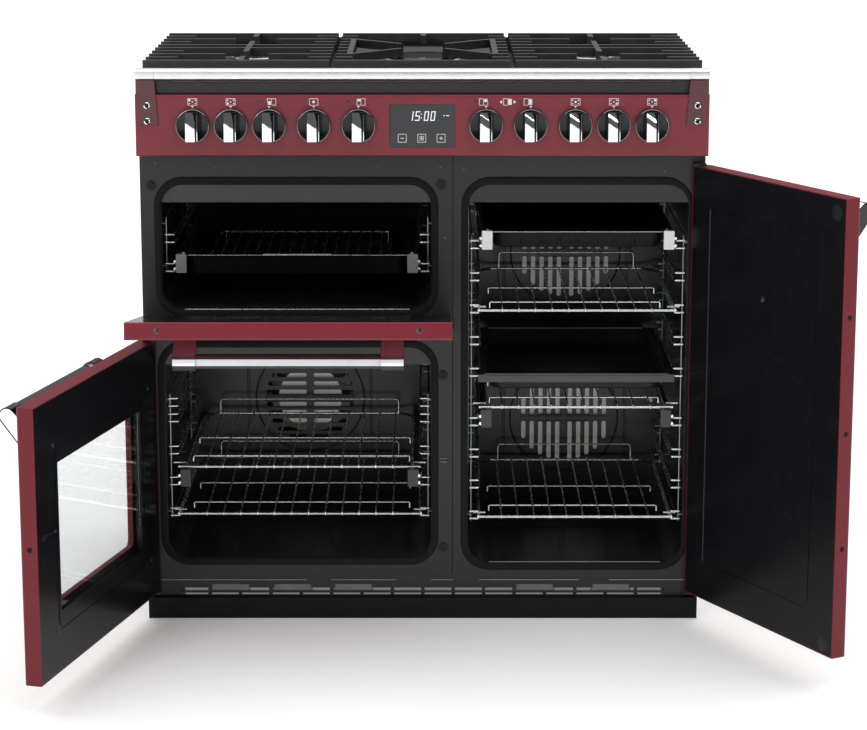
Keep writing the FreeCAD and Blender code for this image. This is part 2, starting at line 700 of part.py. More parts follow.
def tray(x0, x1, y0, y1, rim_z, depth, wall_in, thick):
    """Rectangular pan with a flat rim."""
    rim = rounded("Z", x0, x1, y0, y1, 12, rim_z, rim_z + thick)
    ax0, ax1, ay0, ay1 = x0 + wall_in, x1 - wall_in, y0 + TRAY_FRONT_IN, y1 - TRAY_BACK_IN
    bowl = rounded("Z", ax0, ax1, ay0, ay1, 18, rim_z - depth, rim_z + thick)
    room = rounded("Z", ax0 + thick, ax1 - thick, ay0 + thick, ay1 - thick, 16,
                   rim_z - depth + thick, rim_z + thick + 1)
    return rim.fuse(bowl).removeSplitter().cut(room)


def runner_tray(cavity, rung, depth):
    """Pan whose rim lies on a pair of telescopic runners."""
    inset = RUNG_REACH + FIXED_RAIL_T + CARRIED_GAP
    z = cavity[2] + rung + RAIL_HIGH + REST_GAP
    return tray(cavity[0] + inset, cavity[1] - inset, FRAME_Y + SHELF_FRONT, FRAME_Y + SHELF_BACK, z, depth,
                SLIDE_T + 3, SHEET)


# ---- doors ----
def hung_slab(width, inset, y0, y1, z0, z1):
    """Plan outline of a side-hung door from its hinge edge, pushed up from z0 to z1."""
    points = [(inset, y0), (width - inset, y0), (width - inset, y1), (inset, y1)]
    radii = [HINGE_EDGE_R - inset, max(FREE_EDGE_R - inset, 0.5), 0.4, max(HINGE_BACK_R - inset, 0.5)]
    return prism("Z", points, radii, z0, z1)


def place_left(shape):
    """Hinge edge to the left side of the cabinet, then swung open."""
    shape = shape.copy()
    shape.translate(Vector(LEFT_DOOR_X0, 0, 0))
    return swung(shape, (LEFT_PIVOT_X, PIVOT_Y, 0), (0, 0, 1), -LEFT_OPEN)


def place_right(shape):
    """Hinge edge to the right side of the cabinet, then swung open."""
    shape = mirrored(shape)
    shape.translate(Vector(RIGHT_DOOR_X1, 0, 0))
    return swung(shape, (RIGHT_PIVOT_X, PIVOT_Y, 0), (0, 0, 1), RIGHT_OPEN)


def place_grill(shape):
    """Drop-down door swung open about its lower edge."""
    return swung(shape, (0, GRILL_PIVOT_Y, GRILL_PIVOT_Z), (1, 0, 0), GRILL_OPEN)


INNER_EDGE = HINGE_BACK_R + 1.0
SOCKET_WALL = 2.5
PRESS_W = 4.0                # grooves pressed into the inner panels
PRESS_DEEP = 0.8
PRESS_R = 14.0
RIGHT_PRESS_MARGIN = 62.0
GRILL_PRESS_MARGIN = 60.0


def hung_shell(width, z0, z1):
    """Painted outer pan of a side-hung door, open at the back, bored for its pins."""
    shell = hung_slab(width, 0, DOOR_OUT, DOOR_IN, z0, z1)
    low, high = z0 + DOOR_WALL, z1 - DOOR_WALL
    room = hung_slab(width, DOOR_WALL, DOOR_OUT + DOOR_WALL, DOOR_IN - INNER_T, low, high)
    opening = box(INNER_EDGE, width - DOOR_WALL, DOOR_IN - INNER_T - 1, DOOR_IN + 1, low, high)
    bore = rod((HINGE_INSET, PIVOT_Y, z0 - 1), (0, 0, 1), PIN_R + PIN_GAP, z1 - z0 + 2)
    sockets = [rod((HINGE_INSET, PIVOT_Y, z), (0, 0, 1), PIN_R + SOCKET_WALL, PIN_LEN)
               for z in (z0, z1 - PIN_LEN)]
    return shell.cut([room, opening]).fuse(sockets).removeSplitter().cut(bore)


def pressed(panel, x0, x1, z0, z1, radius):
    """Shallow groove pressed into the back of an inner panel."""
    groove = rounded("Y", x0, x1, z0, z1, radius, DOOR_IN - PRESS_DEEP, DOOR_IN + 1)
    w = PRESS_W
    island = rounded("Y", x0 + w, x1 - w, z0 + w, z1 - w, radius - w, DOOR_IN - 2, DOOR_IN + 2)
    return panel.cut(groove.cut(island))


def hung_inner(width, z0, z1):
    """Flat inner panel that closes the back of a side-hung door."""
    return box(INNER_EDGE, width - DOOR_WALL, DOOR_IN - INNER_T, DOOR_IN, z0 + DOOR_WALL, z1 - DOOR_WALL)


def touch(centre, radius, point, side):
    """Where a line from an outside point touches a circle."""
    dy, dz = point[0] - centre[0], point[1] - centre[1]
    turn = math.atan2(dz, dy) + side * math.acos(radius / math.hypot(dy, dz))
    return centre[0] + radius * math.cos(turn), centre[1] + radius * math.sin(turn)


def bracket(x0, x1, top):
    """Handle end: a round nose whose straight flanks run back to the door."""
    centre = (DOOR_OUT - HANDLE_REACH + HANDLE_NOSE_R, top - HANDLE_NOSE_R)
    upper = (DOOR_OUT, top - HANDLE_FALL)
    lower = (DOOR_OUT, top - HANDLE_FOOT)
    high = touch(centre, HANDLE_NOSE_R, upper, 1)
    low = touch(centre, HANDLE_NOSE_R, lower, -1)
    nose = (centre[0] - HANDLE_NOSE_R, centre[1])
    upper, lower, high, low, nose = [Vector(x0, *spot) for spot in (upper, lower, high, low, nose)]
    edges = [Part.LineSegment(upper, high).toShape(), Part.Arc(high, nose, low).toShape(),
             Part.LineSegment(low, lower).toShape(), Part.LineSegment(lower, upper).toShape()]
    return Part.Face(Part.Wire(edges)).extrude(Vector(x1 - x0, 0, 0))


def handle(x0, x1, top):
    """Handle in closed position: two end brackets and the bar between them."""
    front = DOOR_OUT - HANDLE_REACH + BAR_INSET
    high = top - BAR_INSET
    low = top - 2 * HANDLE_NOSE_R
    back = DOOR_OUT - HANDLE_REACH + BAR_THICK
    points = [(front, high), (back, high - BAR_CHAMFER), (back, low), (front + BAR_CHAMFER, low + BAR_INSET)]
    bar = prism("X", points, [HANDLE_NOSE_R - 4, 0.5, 0.5, 7.0], x0 + BRACKET_W, x1 - BRACKET_W)
    return [bracket(x0, x0 + BRACKET_W, top), bracket(x1 - BRACKET_W, x1, top), bar]


LEFT_W = LEFT_DOOR_X1 - LEFT_DOOR_X0
RIGHT_W = RIGHT_DOOR_X1 - RIGHT_DOOR_X0


def left_door():
    """Lower left door with its window."""
    z0, z1 = DOOR_BOTTOM, LEFT_DOOR_TOP
    wx0, wx1 = WINDOW_HINGE_MARGIN, LEFT_W - WINDOW_FREE_MARGIN
    wz0, wz1 = z0 + WINDOW_SILL, z0 + WINDOW_SILL + WINDOW_H
    inset = SKIN_WINDOW_INSET
    ax0, ax1, az0, az1 = wx0 + inset, wx1 - inset, wz0 + inset, wz1 - 2
    flange_end = DOOR_OUT + WINDOW_FLANGE
    shell = hung_shell(LEFT_W, z0, z1)
    lip = rounded("Y", ax0 - DOOR_WALL, ax1 + DOOR_WALL, az0 - DOOR_WALL, az1 + DOOR_WALL,
                  WINDOW_R + DOOR_WALL, DOOR_OUT, flange_end)
    shell = shell.fuse(lip).removeSplitter()
    shell = shell.cut(rounded("Y", ax0, ax1, az0, az1, WINDOW_R, DOOR_OUT - 1, flange_end + 1))
    glass_in = flange_end + GLASS_T
    lap = GLASS_LAP
    outer_glass = box(ax0 - lap, ax1 + lap, flange_end, glass_in, az0 - lap, az1 + lap)
    inner = hung_inner(LEFT_W, z0, z1)
    channel = box(wx0 - DOOR_WALL, wx1 + DOOR_WALL, glass_in, DOOR_IN, wz0 - DOOR_WALL, wz1 + DOOR_WALL)
    inner = inner.fuse(channel).removeSplitter()
    inner = inner.cut(box(wx0, wx1, DOOR_OUT, DOOR_IN + 1, wz0, wz1))
    inner = pressed(inner, wx0 - 12, wx1 + 12, wz0 - 28, wz1 + 24, 16)
    pane_in = DOOR_IN - INNER_GLASS_SETBACK
    inner_glass = box(wx0, wx1, pane_in - GLASS_T, pane_in, wz0, wz1)
    end = LEFT_W - LEFT_HANDLE_FREE
    bars = handle(end - LEFT_HANDLE_L, end, z1 - LEFT_HANDLE_DROP)
    node("left_door_shell", [place_left(shell)])
    node("left_door_inner_panel", [place_left(inner)])
    node("left_door_glass", [place_left(outer_glass), place_left(inner_glass)])
    node("left_door_handle", [place_left(bar) for bar in bars])


def right_door():
    """Tall door of the right oven."""
    z0, z1 = DOOR_BOTTOM, DOOR_TOP
    inner = hung_inner(RIGHT_W, z0, z1)
    margin = RIGHT_PRESS_MARGIN
    inner = pressed(inner, margin - 10, RIGHT_W - margin, z0 + margin, z1 - margin, PRESS_R)
    end = RIGHT_W - RIGHT_HANDLE_FREE
    bars = handle(end - RIGHT_HANDLE_L, end, z1 - RIGHT_HANDLE_DROP)
    node("right_door_shell", [place_right(hung_shell(RIGHT_W, z0, z1))])
    node("right_door_inner_panel", [place_right(inner)])
    node("right_door_handle", [place_right(bar) for bar in bars])


GRILL_X0 = LEFT_DOOR_X0 + GRILL_LUG_T + DOOR_SIDE_GAP
GRILL_X1 = LEFT_DOOR_X1 - DOOR_SIDE_GAP


def grill_door():
    """Drop-down door of the grill cavity."""
    z0, z1 = GRILL_DOOR_Z, DOOR_TOP
    points = [(DOOR_OUT, z0), (DOOR_IN, z0), (DOOR_IN, z1), (DOOR_OUT, z1)]
    shell = prism("X", points, [2.0, 6.0, 2.0, 3.0], GRILL_X0, GRILL_X1)
    w = DOOR_WALL
    points = [(DOOR_OUT + w, z0 + w), (DOOR_IN - INNER_T, z0 + w), (DOOR_IN - INNER_T, z1 - w),
              (DOOR_OUT + w, z1 - w)]
    room = prism("X", points, [1.0, 4.0, 0.5, 1.5], GRILL_X0 + w, GRILL_X1 - w)
    opening = box(GRILL_X0 + w, GRILL_X1 - w, DOOR_IN - INNER_T - 1, DOOR_IN + 1, z0 + 8, z1 - w)
    pivot = (GRILL_PIVOT_Y, GRILL_PIVOT_Z)
    sockets = [rod((x, *pivot), (1, 0, 0), GRILL_PIN_R + SOCKET_WALL, PIN_LEN)
               for x in (GRILL_X0, GRILL_X1 - PIN_LEN)]
    bores = [rod((x, *pivot), (1, 0, 0), GRILL_PIN_R + PIN_GAP, PIN_LEN + 1)
             for x in (GRILL_X0 - 1, GRILL_X1 - PIN_LEN)]
    shell = shell.cut([room, opening]).fuse(sockets).removeSplitter().cut(bores)
    past_face = box(GRILL_X0 - 1, GRILL_X1 + 1, DOOR_OUT - HANDLE_REACH, DOOR_OUT, z0 - 1, z1)
    shell = shell.cut(past_face)
    inner = box(GRILL_X0 + w, GRILL_X1 - w, DOOR_IN - INNER_T, DOOR_IN, z0 + 8, z1 - w)
    margin = GRILL_PRESS_MARGIN
    inner = pressed(inner, GRILL_X0 + margin, GRILL_X1 - margin, z0 + margin, z1 - margin + 10, PRESS_R)
    inset = GRILL_HANDLE_INSET
    bars = handle(LEFT_DOOR_X0 + inset, LEFT_DOOR_X1 - inset, z1 - GRILL_HANDLE_DROP)
    node("grill_door_shell", [place_grill(shell)])
    node("grill_door_inner_panel", [place_grill(inner)])
    node("grill_door_handle", [place_grill(bar) for bar in bars])


PLATE_T = 2.5
PLATE_GAP = 0.5
PLATE_W = 20.0
PLATE_FRONT = 8.0
LUG_FRONT = 5.0
LUG_HALF = 7.0


def door_hinges():
    """Fixed hinge plates and lugs with their pins, standing on the front frame."""
    pieces = []
    for x, z0, z1 in ((LEFT_PIVOT_X, DOOR_BOTTOM, LEFT_DOOR_TOP), (RIGHT_PIVOT_X, DOOR_BOTTOM, DOOR_TOP)):
        side = 1 if x > 0 else -1
        x0, x1 = sorted((side * CAB_X, side * (CAB_X - PLATE_W)))
        for z, up in ((z0 - PLATE_GAP - PLATE_T, 1), (z1 + PLATE_GAP, -1)):
            plate = box(x0, x1, PIVOT_Y - PLATE_FRONT, FRAME_Y, z, z + PLATE_T)
            foot = z if up > 0 else z + PLATE_T
            pin = rod((x, PIVOT_Y, foot), (0, 0, up), PIN_R, PLATE_T + PLATE_GAP + PIN_LEN - 1)
            pieces.append(plate.fuse(pin).removeSplitter())
    for x0, inward in ((LEFT_DOOR_X0, 1), (LEFT_DOOR_X1 + COLUMN_GAP / 2 - GRILL_LUG_T / 2, -1)):
        lug = box(x0, x0 + GRILL_LUG_T, GRILL_PIVOT_Y - LUG_FRONT, FRAME_Y,
                  GRILL_PIVOT_Z - LUG_HALF, GRILL_PIVOT_Z + LUG_HALF)
        start = x0 if inward > 0 else x0 + GRILL_LUG_T
        pin = rod((start, GRILL_PIVOT_Y, GRILL_PIVOT_Z), (inward, 0, 0), GRILL_PIN_R,
                  GRILL_LUG_T + PIN_LEN - 1)
        pieces.append(lug.fuse(pin).removeSplitter())
    return pieces


# ---- control panel ----
def control_panel():
    """Folded front panel with knob and display cut-outs."""
    half = WIDTH / 2
    points = [(FRONT, PANEL_BOTTOM), (FRONT + PANEL_FLANGE, PANEL_BOTTOM), (FRONT + PANEL_FLANGE, PANEL_TOP),
              (FRONT, PANEL_TOP)]
    panel = prism("X", points, [3.0, 0.4, 0.4, 3.0], -half, half)
    room = box(-half + SHEET, half - SHEET, FRONT + SHEET, FRONT + PANEL_FLANGE + 1,
               PANEL_BOTTOM + SHEET, PANEL_TOP - SHEET)
    cuts = [room]
    for x in TAP_XS + SWITCH_XS:
        cuts.append(rod((x, FRONT - 1, KNOB_Z), (0, 1, 0), SPINDLE_R + 2, 9))
    w, h = DISPLAY_W / 2, DISPLAY_H / 2
    cuts.append(rounded("Y", -w, w, DISPLAY_Z - h, DISPLAY_Z + h, 3, FRONT - 1, FRONT + 9))
    return panel.cut(cuts)


def display():
    """Clock glass and the housing behind it."""
    w, h = DISPLAY_W / 2 - 0.2, DISPLAY_H / 2 - 0.2
    y = FRONT - PROUD
    glass = rounded("Y", -w, w, DISPLAY_Z - h, DISPLAY_Z + h, 2.8, y, y + DISPLAY_T)
    in_w, in_h = w - HOUSING_INSET, h - HOUSING_INSET
    housing = box(-in_w, in_w, y + DISPLAY_T, FRONT + HOUSING_BACK, DISPLAY_Z - in_h, DISPLAY_Z + in_h)
    return [glass, housing]


TAP_W = 30.0
SWITCH_R = 21.0
SWITCH_D = 32.0
SPINDLE_ROOT = 5.0
MANIFOLD_Y = FRONT + 52.0
MANIFOLD_W = 16.0


def tap(x):
    """Gas tap body with its spindle."""
    half = TAP_W / 2
    body = box(x - half, x + half, FRONT + SHEET, MANIFOLD_Y, KNOB_Z - half, KNOB_Z + half)
    spindle = rod((x, FRONT - SPINDLE_OUT, KNOB_Z), (0, 1, 0), SPINDLE_R, SPINDLE_OUT + SPINDLE_ROOT)
    return fused([body, spindle])


def switch(x):
    """Oven thermostat or selector with its spindle."""
    body = rod((x, FRONT + SHEET, KNOB_Z), (0, 1, 0), SWITCH_R, SWITCH_D)
    spindle = rod((x, FRONT - SPINDLE_OUT, KNOB_Z), (0, 1, 0), SPINDLE_R, SPINDLE_OUT + SPINDLE_ROOT)
    return fused([body, spindle])


def manifold():
    """Square gas rail behind the taps, with its supply tube to the rear inlet."""
    half = MANIFOLD_W / 2
    x0, x1 = TAP_XS[0] - 25, INLET_X + 25
    rail = box(x0, x1, MANIFOLD_Y, MANIFOLD_Y + MANIFOLD_W, KNOB_Z - half, KNOB_Z + half)
    start = MANIFOLD_Y + MANIFOLD_W - 1
    k = INLET_HALF
    supply = box(INLET_X - half, INLET_X + half, start, BACK - k, INLET_Z - half, INLET_Z + half)
    riser = box(INLET_X - half, INLET_X + half, start, start + MANIFOLD_W, KNOB_Z - half, INLET_Z + half)
    block = box(INLET_X - k, INLET_X + k, BACK - 2 * k, BACK, INLET_Z - k, INLET_Z + k)
    bore = rod((INLET_X, BACK - INLET_BORE_L, INLET_Z), (0, 1, 0), INLET_BORE_R, INLET_BORE_L + 1)
    return fused([rail, supply, riser, block]).cut(bore)


TERMINAL_W = 80.0
TERMINAL_H = 70.0
TERMINAL_D = 45.0


def terminal_box():
    """Mains terminal box on the rear panel with its cable gland."""
    half_w, half_h = TERMINAL_W / 2, TERMINAL_H / 2
    case = box(GLAND_X - half_w, GLAND_X + half_w, BACK - SHEET - TERMINAL_D, BACK - SHEET,
               INLET_Z - half_h, INLET_Z + half_h)
    gland = rod((GLAND_X, BACK - GLAND_L, INLET_Z), (0, 1, 0), GLAND_R, GLAND_L)
    bore = rod((GLAND_X, BACK - GLAND_L, INLET_Z), (0, 1, 0), GLAND_BORE_R, GLAND_L + 1)
    return fused([case, gland]).cut(bore)


def knob(x):
    """Round skirt with a bar grip, bored for its spindle."""
    y1 = FRONT - KNOB_GAP
    y0 = y1 - KNOB_SKIRT_T
    skirt = rod((x, y0, KNOB_Z), (0, 1, 0), KNOB_R, KNOB_SKIRT_T)
    w, g = GRIP_W / 2, GRIP_LEN / 2
    grip = rounded("Y", x - w, x + w, KNOB_Z - g, KNOB_Z + g, GRIP_R, y0 - GRIP_REACH, y0 + 1)
    bore = rod((x, FRONT - SPINDLE_OUT - 1, KNOB_Z), (0, 1, 0), SPINDLE_R + PIN_GAP, SPINDLE_OUT + 2)
    return fused([skirt, grip]).cut(bore)


# ---- rail and hob ----
BRACKET_OUT = (2.0, 6.5)     # rail bracket edges from the panel end, at its top and bottom
BRACKET_IN = (31.0, 36.5)
BRACKET_BELOW = 48.0         # panel top to the bracket's lower edge
BRACKET_T = 2.5


def front_rail():
    """Chrome rail across the front: bar, two end caps and two fixing brackets."""
    half = WIDTH / 2
    back = FRONT + RAIL_D
    points = [(FRONT, RAIL_BOTTOM), (back, RAIL_BOTTOM), (back, RAIL_TOP), (FRONT, RAIL_TOP)]
    radii = [2.0, 1.0, 4.0, 6.0]
    end = half - RAIL_CAP_W
    spans = ((-half, -end), (-end, end), (end, half))
    pieces = [prism("X", points, radii, a, b) for a, b in spans]
    low = PANEL_TOP - BRACKET_BELOW
    high = RAIL_BOTTOM - REST_GAP
    corners = [(-half + BRACKET_OUT[0], high), (-half + BRACKET_OUT[1], low),
               (-half + BRACKET_IN[1], low), (-half + BRACKET_IN[0], high)]
    plate = prism("Y", corners, [1.0, 2.0, 2.0, 1.0], FRONT - BRACKET_T, FRONT)
    return pieces + [plate, mirrored(plate)]


HOB_SLOTS = 16
HOB_SLOT_L = 40.0
HOB_SLOT_H = 3.0
HOB_SLOT_PITCH = 50.0
HOB_SLOT_RISE = 17.5
HOB_UPSTAND = 15.0           # turned-up rear edge


def hob_sheet():
    """Pressed hob top with a slotted front band under the rail."""
    y0 = FRONT + 8.0
    step = FRONT + RAIL_D + 2.0
    t = HOB_T
    points = [(y0, PANEL_TOP), (y0, RAIL_BOTTOM), (step, RAIL_BOTTOM), (step, HOB_Z), (BACK - t, HOB_Z),
              (BACK - t, HOB_Z + HOB_UPSTAND), (BACK, HOB_Z + HOB_UPSTAND), (BACK, HOB_Z - t),
              (step - t, HOB_Z - t), (step - t, RAIL_BOTTOM - t), (y0 + t, RAIL_BOTTOM - t),
              (y0 + t, PANEL_TOP)]
    sheet = prism("X", points, [0.0] * len(points), -CAB_X, CAB_X)
    cheeks = [box(*sorted((s * CAB_X, s * (CAB_X - SHEET))), y0 + 1, LINER_FRONT, PANEL_TOP, HOB_Z - t)
              for s in (-1, 1)]
    slots = []
    z = PANEL_TOP + HOB_SLOT_RISE
    for column in range(-HOB_SLOTS // 2, HOB_SLOTS // 2):
        x = (column + 0.5) * HOB_SLOT_PITCH
        slots.append(box(x - HOB_SLOT_L / 2, x + HOB_SLOT_L / 2, y0 - 1, y0 + t + 1, z, z + HOB_SLOT_H))
    return sheet.fuse(cheeks).removeSplitter().cut(slots)


def burner_sites():
    """Place and radius of each burner: four at the sides and the wok burner."""
    sites = [(side * BURNER_X, FRONT + BURNER_ROWS[row], radius)
             for (side, row), radius in BURNER_RS.items()]
    return sites + [(0.0, FRONT + WOK_SETBACK, WOK_R)]


def burner_body(x, y, radius):
    """Burner head standing in the hob, with its mixing tube below."""
    head = rod((x, y, HOB_Z), (0, 0, 1), radius, BURNER_H)
    flange = rod((x, y, HOB_Z), (0, 0, 1), radius + BURNER_FLANGE, BURNER_FLANGE_T)
    tube = rod((x, y, HOB_Z - MIXER_DROP), (0, 0, 1), MIXER_R, MIXER_DROP + 1)
    return fused([head, flange, tube])


def burner_cap(x, y, radius):
    """Loose cap lying on one burner head."""
    return rod((x, y, HOB_Z + BURNER_H), (0, 0, 1), radius - CAP_INSET, CAP_H)


FOOT_BAR = 10.0
FOOT_GAP = HOB_DROP + SUPPORT_RISE - BAR_H


def bar_x(x0, x1, y):
    """Pan support bar running side to side."""
    return box(x0, x1, y - BAR_W / 2, y + BAR_W / 2, SUPPORT_TOP - BAR_H, SUPPORT_TOP)


def bar_y(x, y0, y1):
    """Pan support bar running front to back."""
    return box(x - BAR_W / 2, x + BAR_W / 2, y0, y1, SUPPORT_TOP - BAR_H, SUPPORT_TOP)


def side_bar(x, y0, y1):
    """Lower bar that ties rib ends together, front to back."""
    return box(x - BAR_W / 2, x + BAR_W / 2, y0, y1, SUPPORT_TOP - BAR_H, SUPPORT_TOP - SIDE_BAR_DROP)


def support_feet(x0, x1, y0, y1):
    """Four short feet down to the hob."""
    low = HOB_Z + REST_GAP
    return [box(x, x + FOOT_BAR, y, y + FOOT_BAR, low, SUPPORT_TOP - 1)
            for x in (x0, x1 - FOOT_BAR) for y in (y0, y1 - FOOT_BAR)]


OUTER_STUB = 51.0
INNER_STUB = 36.0
FINGER_OUT = 31.0            # tip of a long finger from the middle of a side support
FINGER_IN = 39.0
FINGER_L = 62.0              # fingers along the middle line
RIBS = 10
MIDDLE_STUB = 28.0
MIDDLE_RAIL_INSET = 22.0
MIDDLE_FINGER_L = 42.0
WOK_FINGER_X = 36.0          # tips of the four slanting fingers
WOK_FINGER_YS = (239.0, 316.0)


def side_support():
    """Right pan support: ribs side to side, with long fingers over both burners."""
    x0 = SIDE_SUPPORT_IN
    x1 = x0 + SIDE_SUPPORT_W
    y0 = FRONT + SUPPORT_FRONT
    y1 = y0 + SUPPORT_LEN
    middle = BURNER_X
    rows = [y0 + BAR_W / 2 + i * (SUPPORT_LEN - BAR_W) / (RIBS - 1) for i in range(RIBS)]
    bars = []
    for i, y in enumerate(rows):
        if i in (0, 4, 5, 9):
            bars.append(bar_x(x0, x1, y))
        elif i in (2, 7):
            bars.append(bar_x(x0, middle - FINGER_IN, y))
            bars.append(bar_x(middle + FINGER_OUT, x1, y))
        else:
            bars.append(bar_x(x0, x0 + INNER_STUB, y))
            bars.append(bar_x(x1 - OUTER_STUB, x1, y))
    edge = RIB_OVERHANG + BAR_W / 2
    bars += [side_bar(x, y0, y1) for x in (x0 + edge, x1 - edge)]
    reach = FINGER_L
    bars += [bar_y(middle, rows[0], rows[0] + reach), bar_y(middle, rows[4] - reach, rows[5] + reach),
             bar_y(middle, rows[9] - reach, rows[9])]
    return fused(bars + support_feet(x0, x1, y0, y1))


def middle_support():
    """Middle pan support with four fingers over the wok burner."""
    x1 = MIDDLE_SUPPORT_W / 2
    y0 = FRONT + SUPPORT_FRONT
    y1 = y0 + SUPPORT_LEN
    rows = [y0 + BAR_W / 2 + i * (SUPPORT_LEN - BAR_W) / (RIBS - 1) for i in range(RIBS)]
    bars = [bar_x(-x1, x1, rows[0]), bar_x(-x1, x1, rows[9])]
    for side in (-1, 1):
        bars.append(side_bar(side * (x1 - RIB_OVERHANG - BAR_W / 2), y0, y1))
        for y in rows[1:9]:
            bars.append(bar_x(*sorted((side * x1, side * (x1 - MIDDLE_STUB))), y))
        root_x = side * (x1 - MIDDLE_RAIL_INSET)
        tip_x = side * WOK_FINGER_X
        bars.append(bar_y(root_x, rows[2], rows[7]))
        for start, tip in ((rows[2], WOK_FINGER_YS[0]), (rows[7], WOK_FINGER_YS[1])):
            tip_y = FRONT + tip
            angle = math.degrees(math.atan2(tip_y - start, tip_x - root_x))
            length = math.hypot(tip_y - start, tip_x - root_x)
            finger = box(0, length, -BAR_W / 2, BAR_W / 2, SUPPORT_TOP - BAR_H, SUPPORT_TOP)
            finger = swung(finger, (0, 0, 0), (0, 0, 1), angle)
            finger.translate(Vector(root_x, start, 0))
            bars.append(finger)
    bars.append(bar_y(0, rows[0], rows[0] + MIDDLE_FINGER_L))
    bars.append(bar_y(0, rows[9] - MIDDLE_FINGER_L, rows[9]))
    return fused(bars + support_feet(-x1, x1, y0, y1))


# ---- build every node ----
node("plinth", [plinth()])
node("levelling_feet", feet())
node("base_tray", [base_tray()])
node("cabinet_panels", [side_panel(), mirrored(side_panel()), back_panel()])
node("front_frame", [front_frame(), base_vent()])

node("grill_liner", [liner(GRILL_CAVITY, [])])
node("left_oven_liner", [liner(LEFT_CAVITY, LEFT_FANS)])
node("tall_oven_liner", [liner(TALL_CAVITY, TALL_FANS)])
node("insulation", [insulation(GRILL_CAVITY, []), insulation(LEFT_CAVITY, LEFT_FANS),
                    insulation(TALL_CAVITY, TALL_FANS)])
node("door_seals", [seal(GRILL_CAVITY), seal(LEFT_CAVITY), seal(TALL_CAVITY)])
node("fan_guards", [baffle(LEFT_CAVITY, LEFT_FANS, False), baffle(TALL_CAVITY, TALL_FANS, True)])
node("fan_motors", [motor(*site) for site in LEFT_FANS + TALL_FANS])
node("heating_elements", [ring_element(*site) for site in LEFT_FANS + TALL_FANS]
     + [loop_element(GRILL_CAVITY, GRILL_ELEMENT_DROP),
        loop_element(LEFT_CAVITY, LEFT_ELEMENT_DROP)])
for label, site in zip(("left", "tall_lower", "tall_upper"), LEFT_FANS + TALL_FANS):
    node("fan_rotor_" + label, [fan(*site)])

node("side_racks", both_racks(GRILL_CAVITY, GRILL_RUNGS, GRILL_POST_PAST)
     + both_racks(LEFT_CAVITY, LEFT_RUNGS) + both_racks(TALL_CAVITY, TALL_RUNGS)
     + fixed_rails(GRILL_CAVITY, GRILL_RUNGS[0]) + fixed_rails(LEFT_CAVITY, LEFT_RUNGS[1])
     + fixed_rails(TALL_CAVITY, TALL_RUNGS[3]) + fixed_rails(TALL_CAVITY, TALL_RUNGS[8]))

node("grill_pan_runners", slides(GRILL_CAVITY, GRILL_RUNGS[0]))
grill_pan = runner_tray(GRILL_CAVITY, GRILL_RUNGS[0], PAN_DEPTH)
node("grill_pan", [grill_pan])
PAN_INSET = RUNG_REACH + FIXED_RAIL_T + SLIDE_T + 8.0
PAN_FLOOR = GRILL_CAVITY[2] + GRILL_RUNGS[0] + RAIL_HIGH - PAN_DEPTH + REST_GAP + SHEET
PAN_WIRE = 4.0
PAN_RACK_LIFT = 15.0
PAN_RACK_FRONT = 18.0
PAN_RACK_BACK = 22.0
rack_x = (GRILL_CAVITY[0] + PAN_INSET, GRILL_CAVITY[1] - PAN_INSET)
rack_y = (FRAME_Y + SHELF_FRONT + PAN_RACK_FRONT, FRAME_Y + SHELF_BACK - PAN_RACK_BACK)
pan_rack = lattice(*rack_x, *rack_y, PAN_FLOOR + PAN_RACK_LIFT, PAN_WIRE, 15, 3)
rack_feet = [box(x, x + PAN_WIRE, y, y + PAN_WIRE, PAN_FLOOR + REST_GAP, PAN_FLOOR + PAN_RACK_LIFT + 1)
             for x in (rack_x[0], rack_x[1] - PAN_WIRE) for y in (rack_y[0], rack_y[1] - PAN_WIRE)]
node("grill_pan_rack", [fused([pan_rack] + rack_feet)])
node("left_upper_shelf", slides(LEFT_CAVITY, LEFT_RUNGS[1]) + runner_shelf(LEFT_CAVITY, LEFT_RUNGS[1], 12))
node("left_lower_shelf", free_shelf(LEFT_CAVITY, LEFT_RUNGS[0], 12))
node("tall_tray", slides(TALL_CAVITY, TALL_RUNGS[8]) + [runner_tray(TALL_CAVITY, TALL_RUNGS[8], TRAY_DEPTH)])
node("tall_upper_shelf", free_shelf(TALL_CAVITY, TALL_RUNGS[6], 10))
ROAST_INSET = SHELF_INSET + 1.0
ROAST_WALL_IN = 14.0         # keeps the tin between its rungs
ROAST_Z = TALL_CAVITY[2] + TALL_RUNGS[4] + WIRE / 2 + REST_GAP
node("roasting_tin", [tray(TALL_CAVITY[0] + ROAST_INSET, TALL_CAVITY[1] - ROAST_INSET, FRAME_Y + SHELF_FRONT,
                           FRAME_Y + SHELF_BACK, ROAST_Z, TIN_DEPTH, ROAST_WALL_IN, SHEET)])
node("tall_middle_shelf", slides(TALL_CAVITY, TALL_RUNGS[3]) + runner_shelf(TALL_CAVITY, TALL_RUNGS[3], 10))
node("tall_lower_shelf", free_shelf(TALL_CAVITY, TALL_RUNGS[0], 10))

grill_door()
left_door()
right_door()
node("door_hinges", door_hinges())

node("control_panel", [control_panel()])
node("display", display())
node("gas_manifold", [manifold()] + [tap(x) for x in TAP_XS])
node("oven_switches", [switch(x) for x in SWITCH_XS])
node("terminal_box", [terminal_box()])
for i, x in enumerate(TAP_XS):
    node("gas_knob_" + str(i + 1), [knob(x)])
for i, x in enumerate(SWITCH_XS):
    node("oven_knob_" + str(i + 1), [knob(x)])

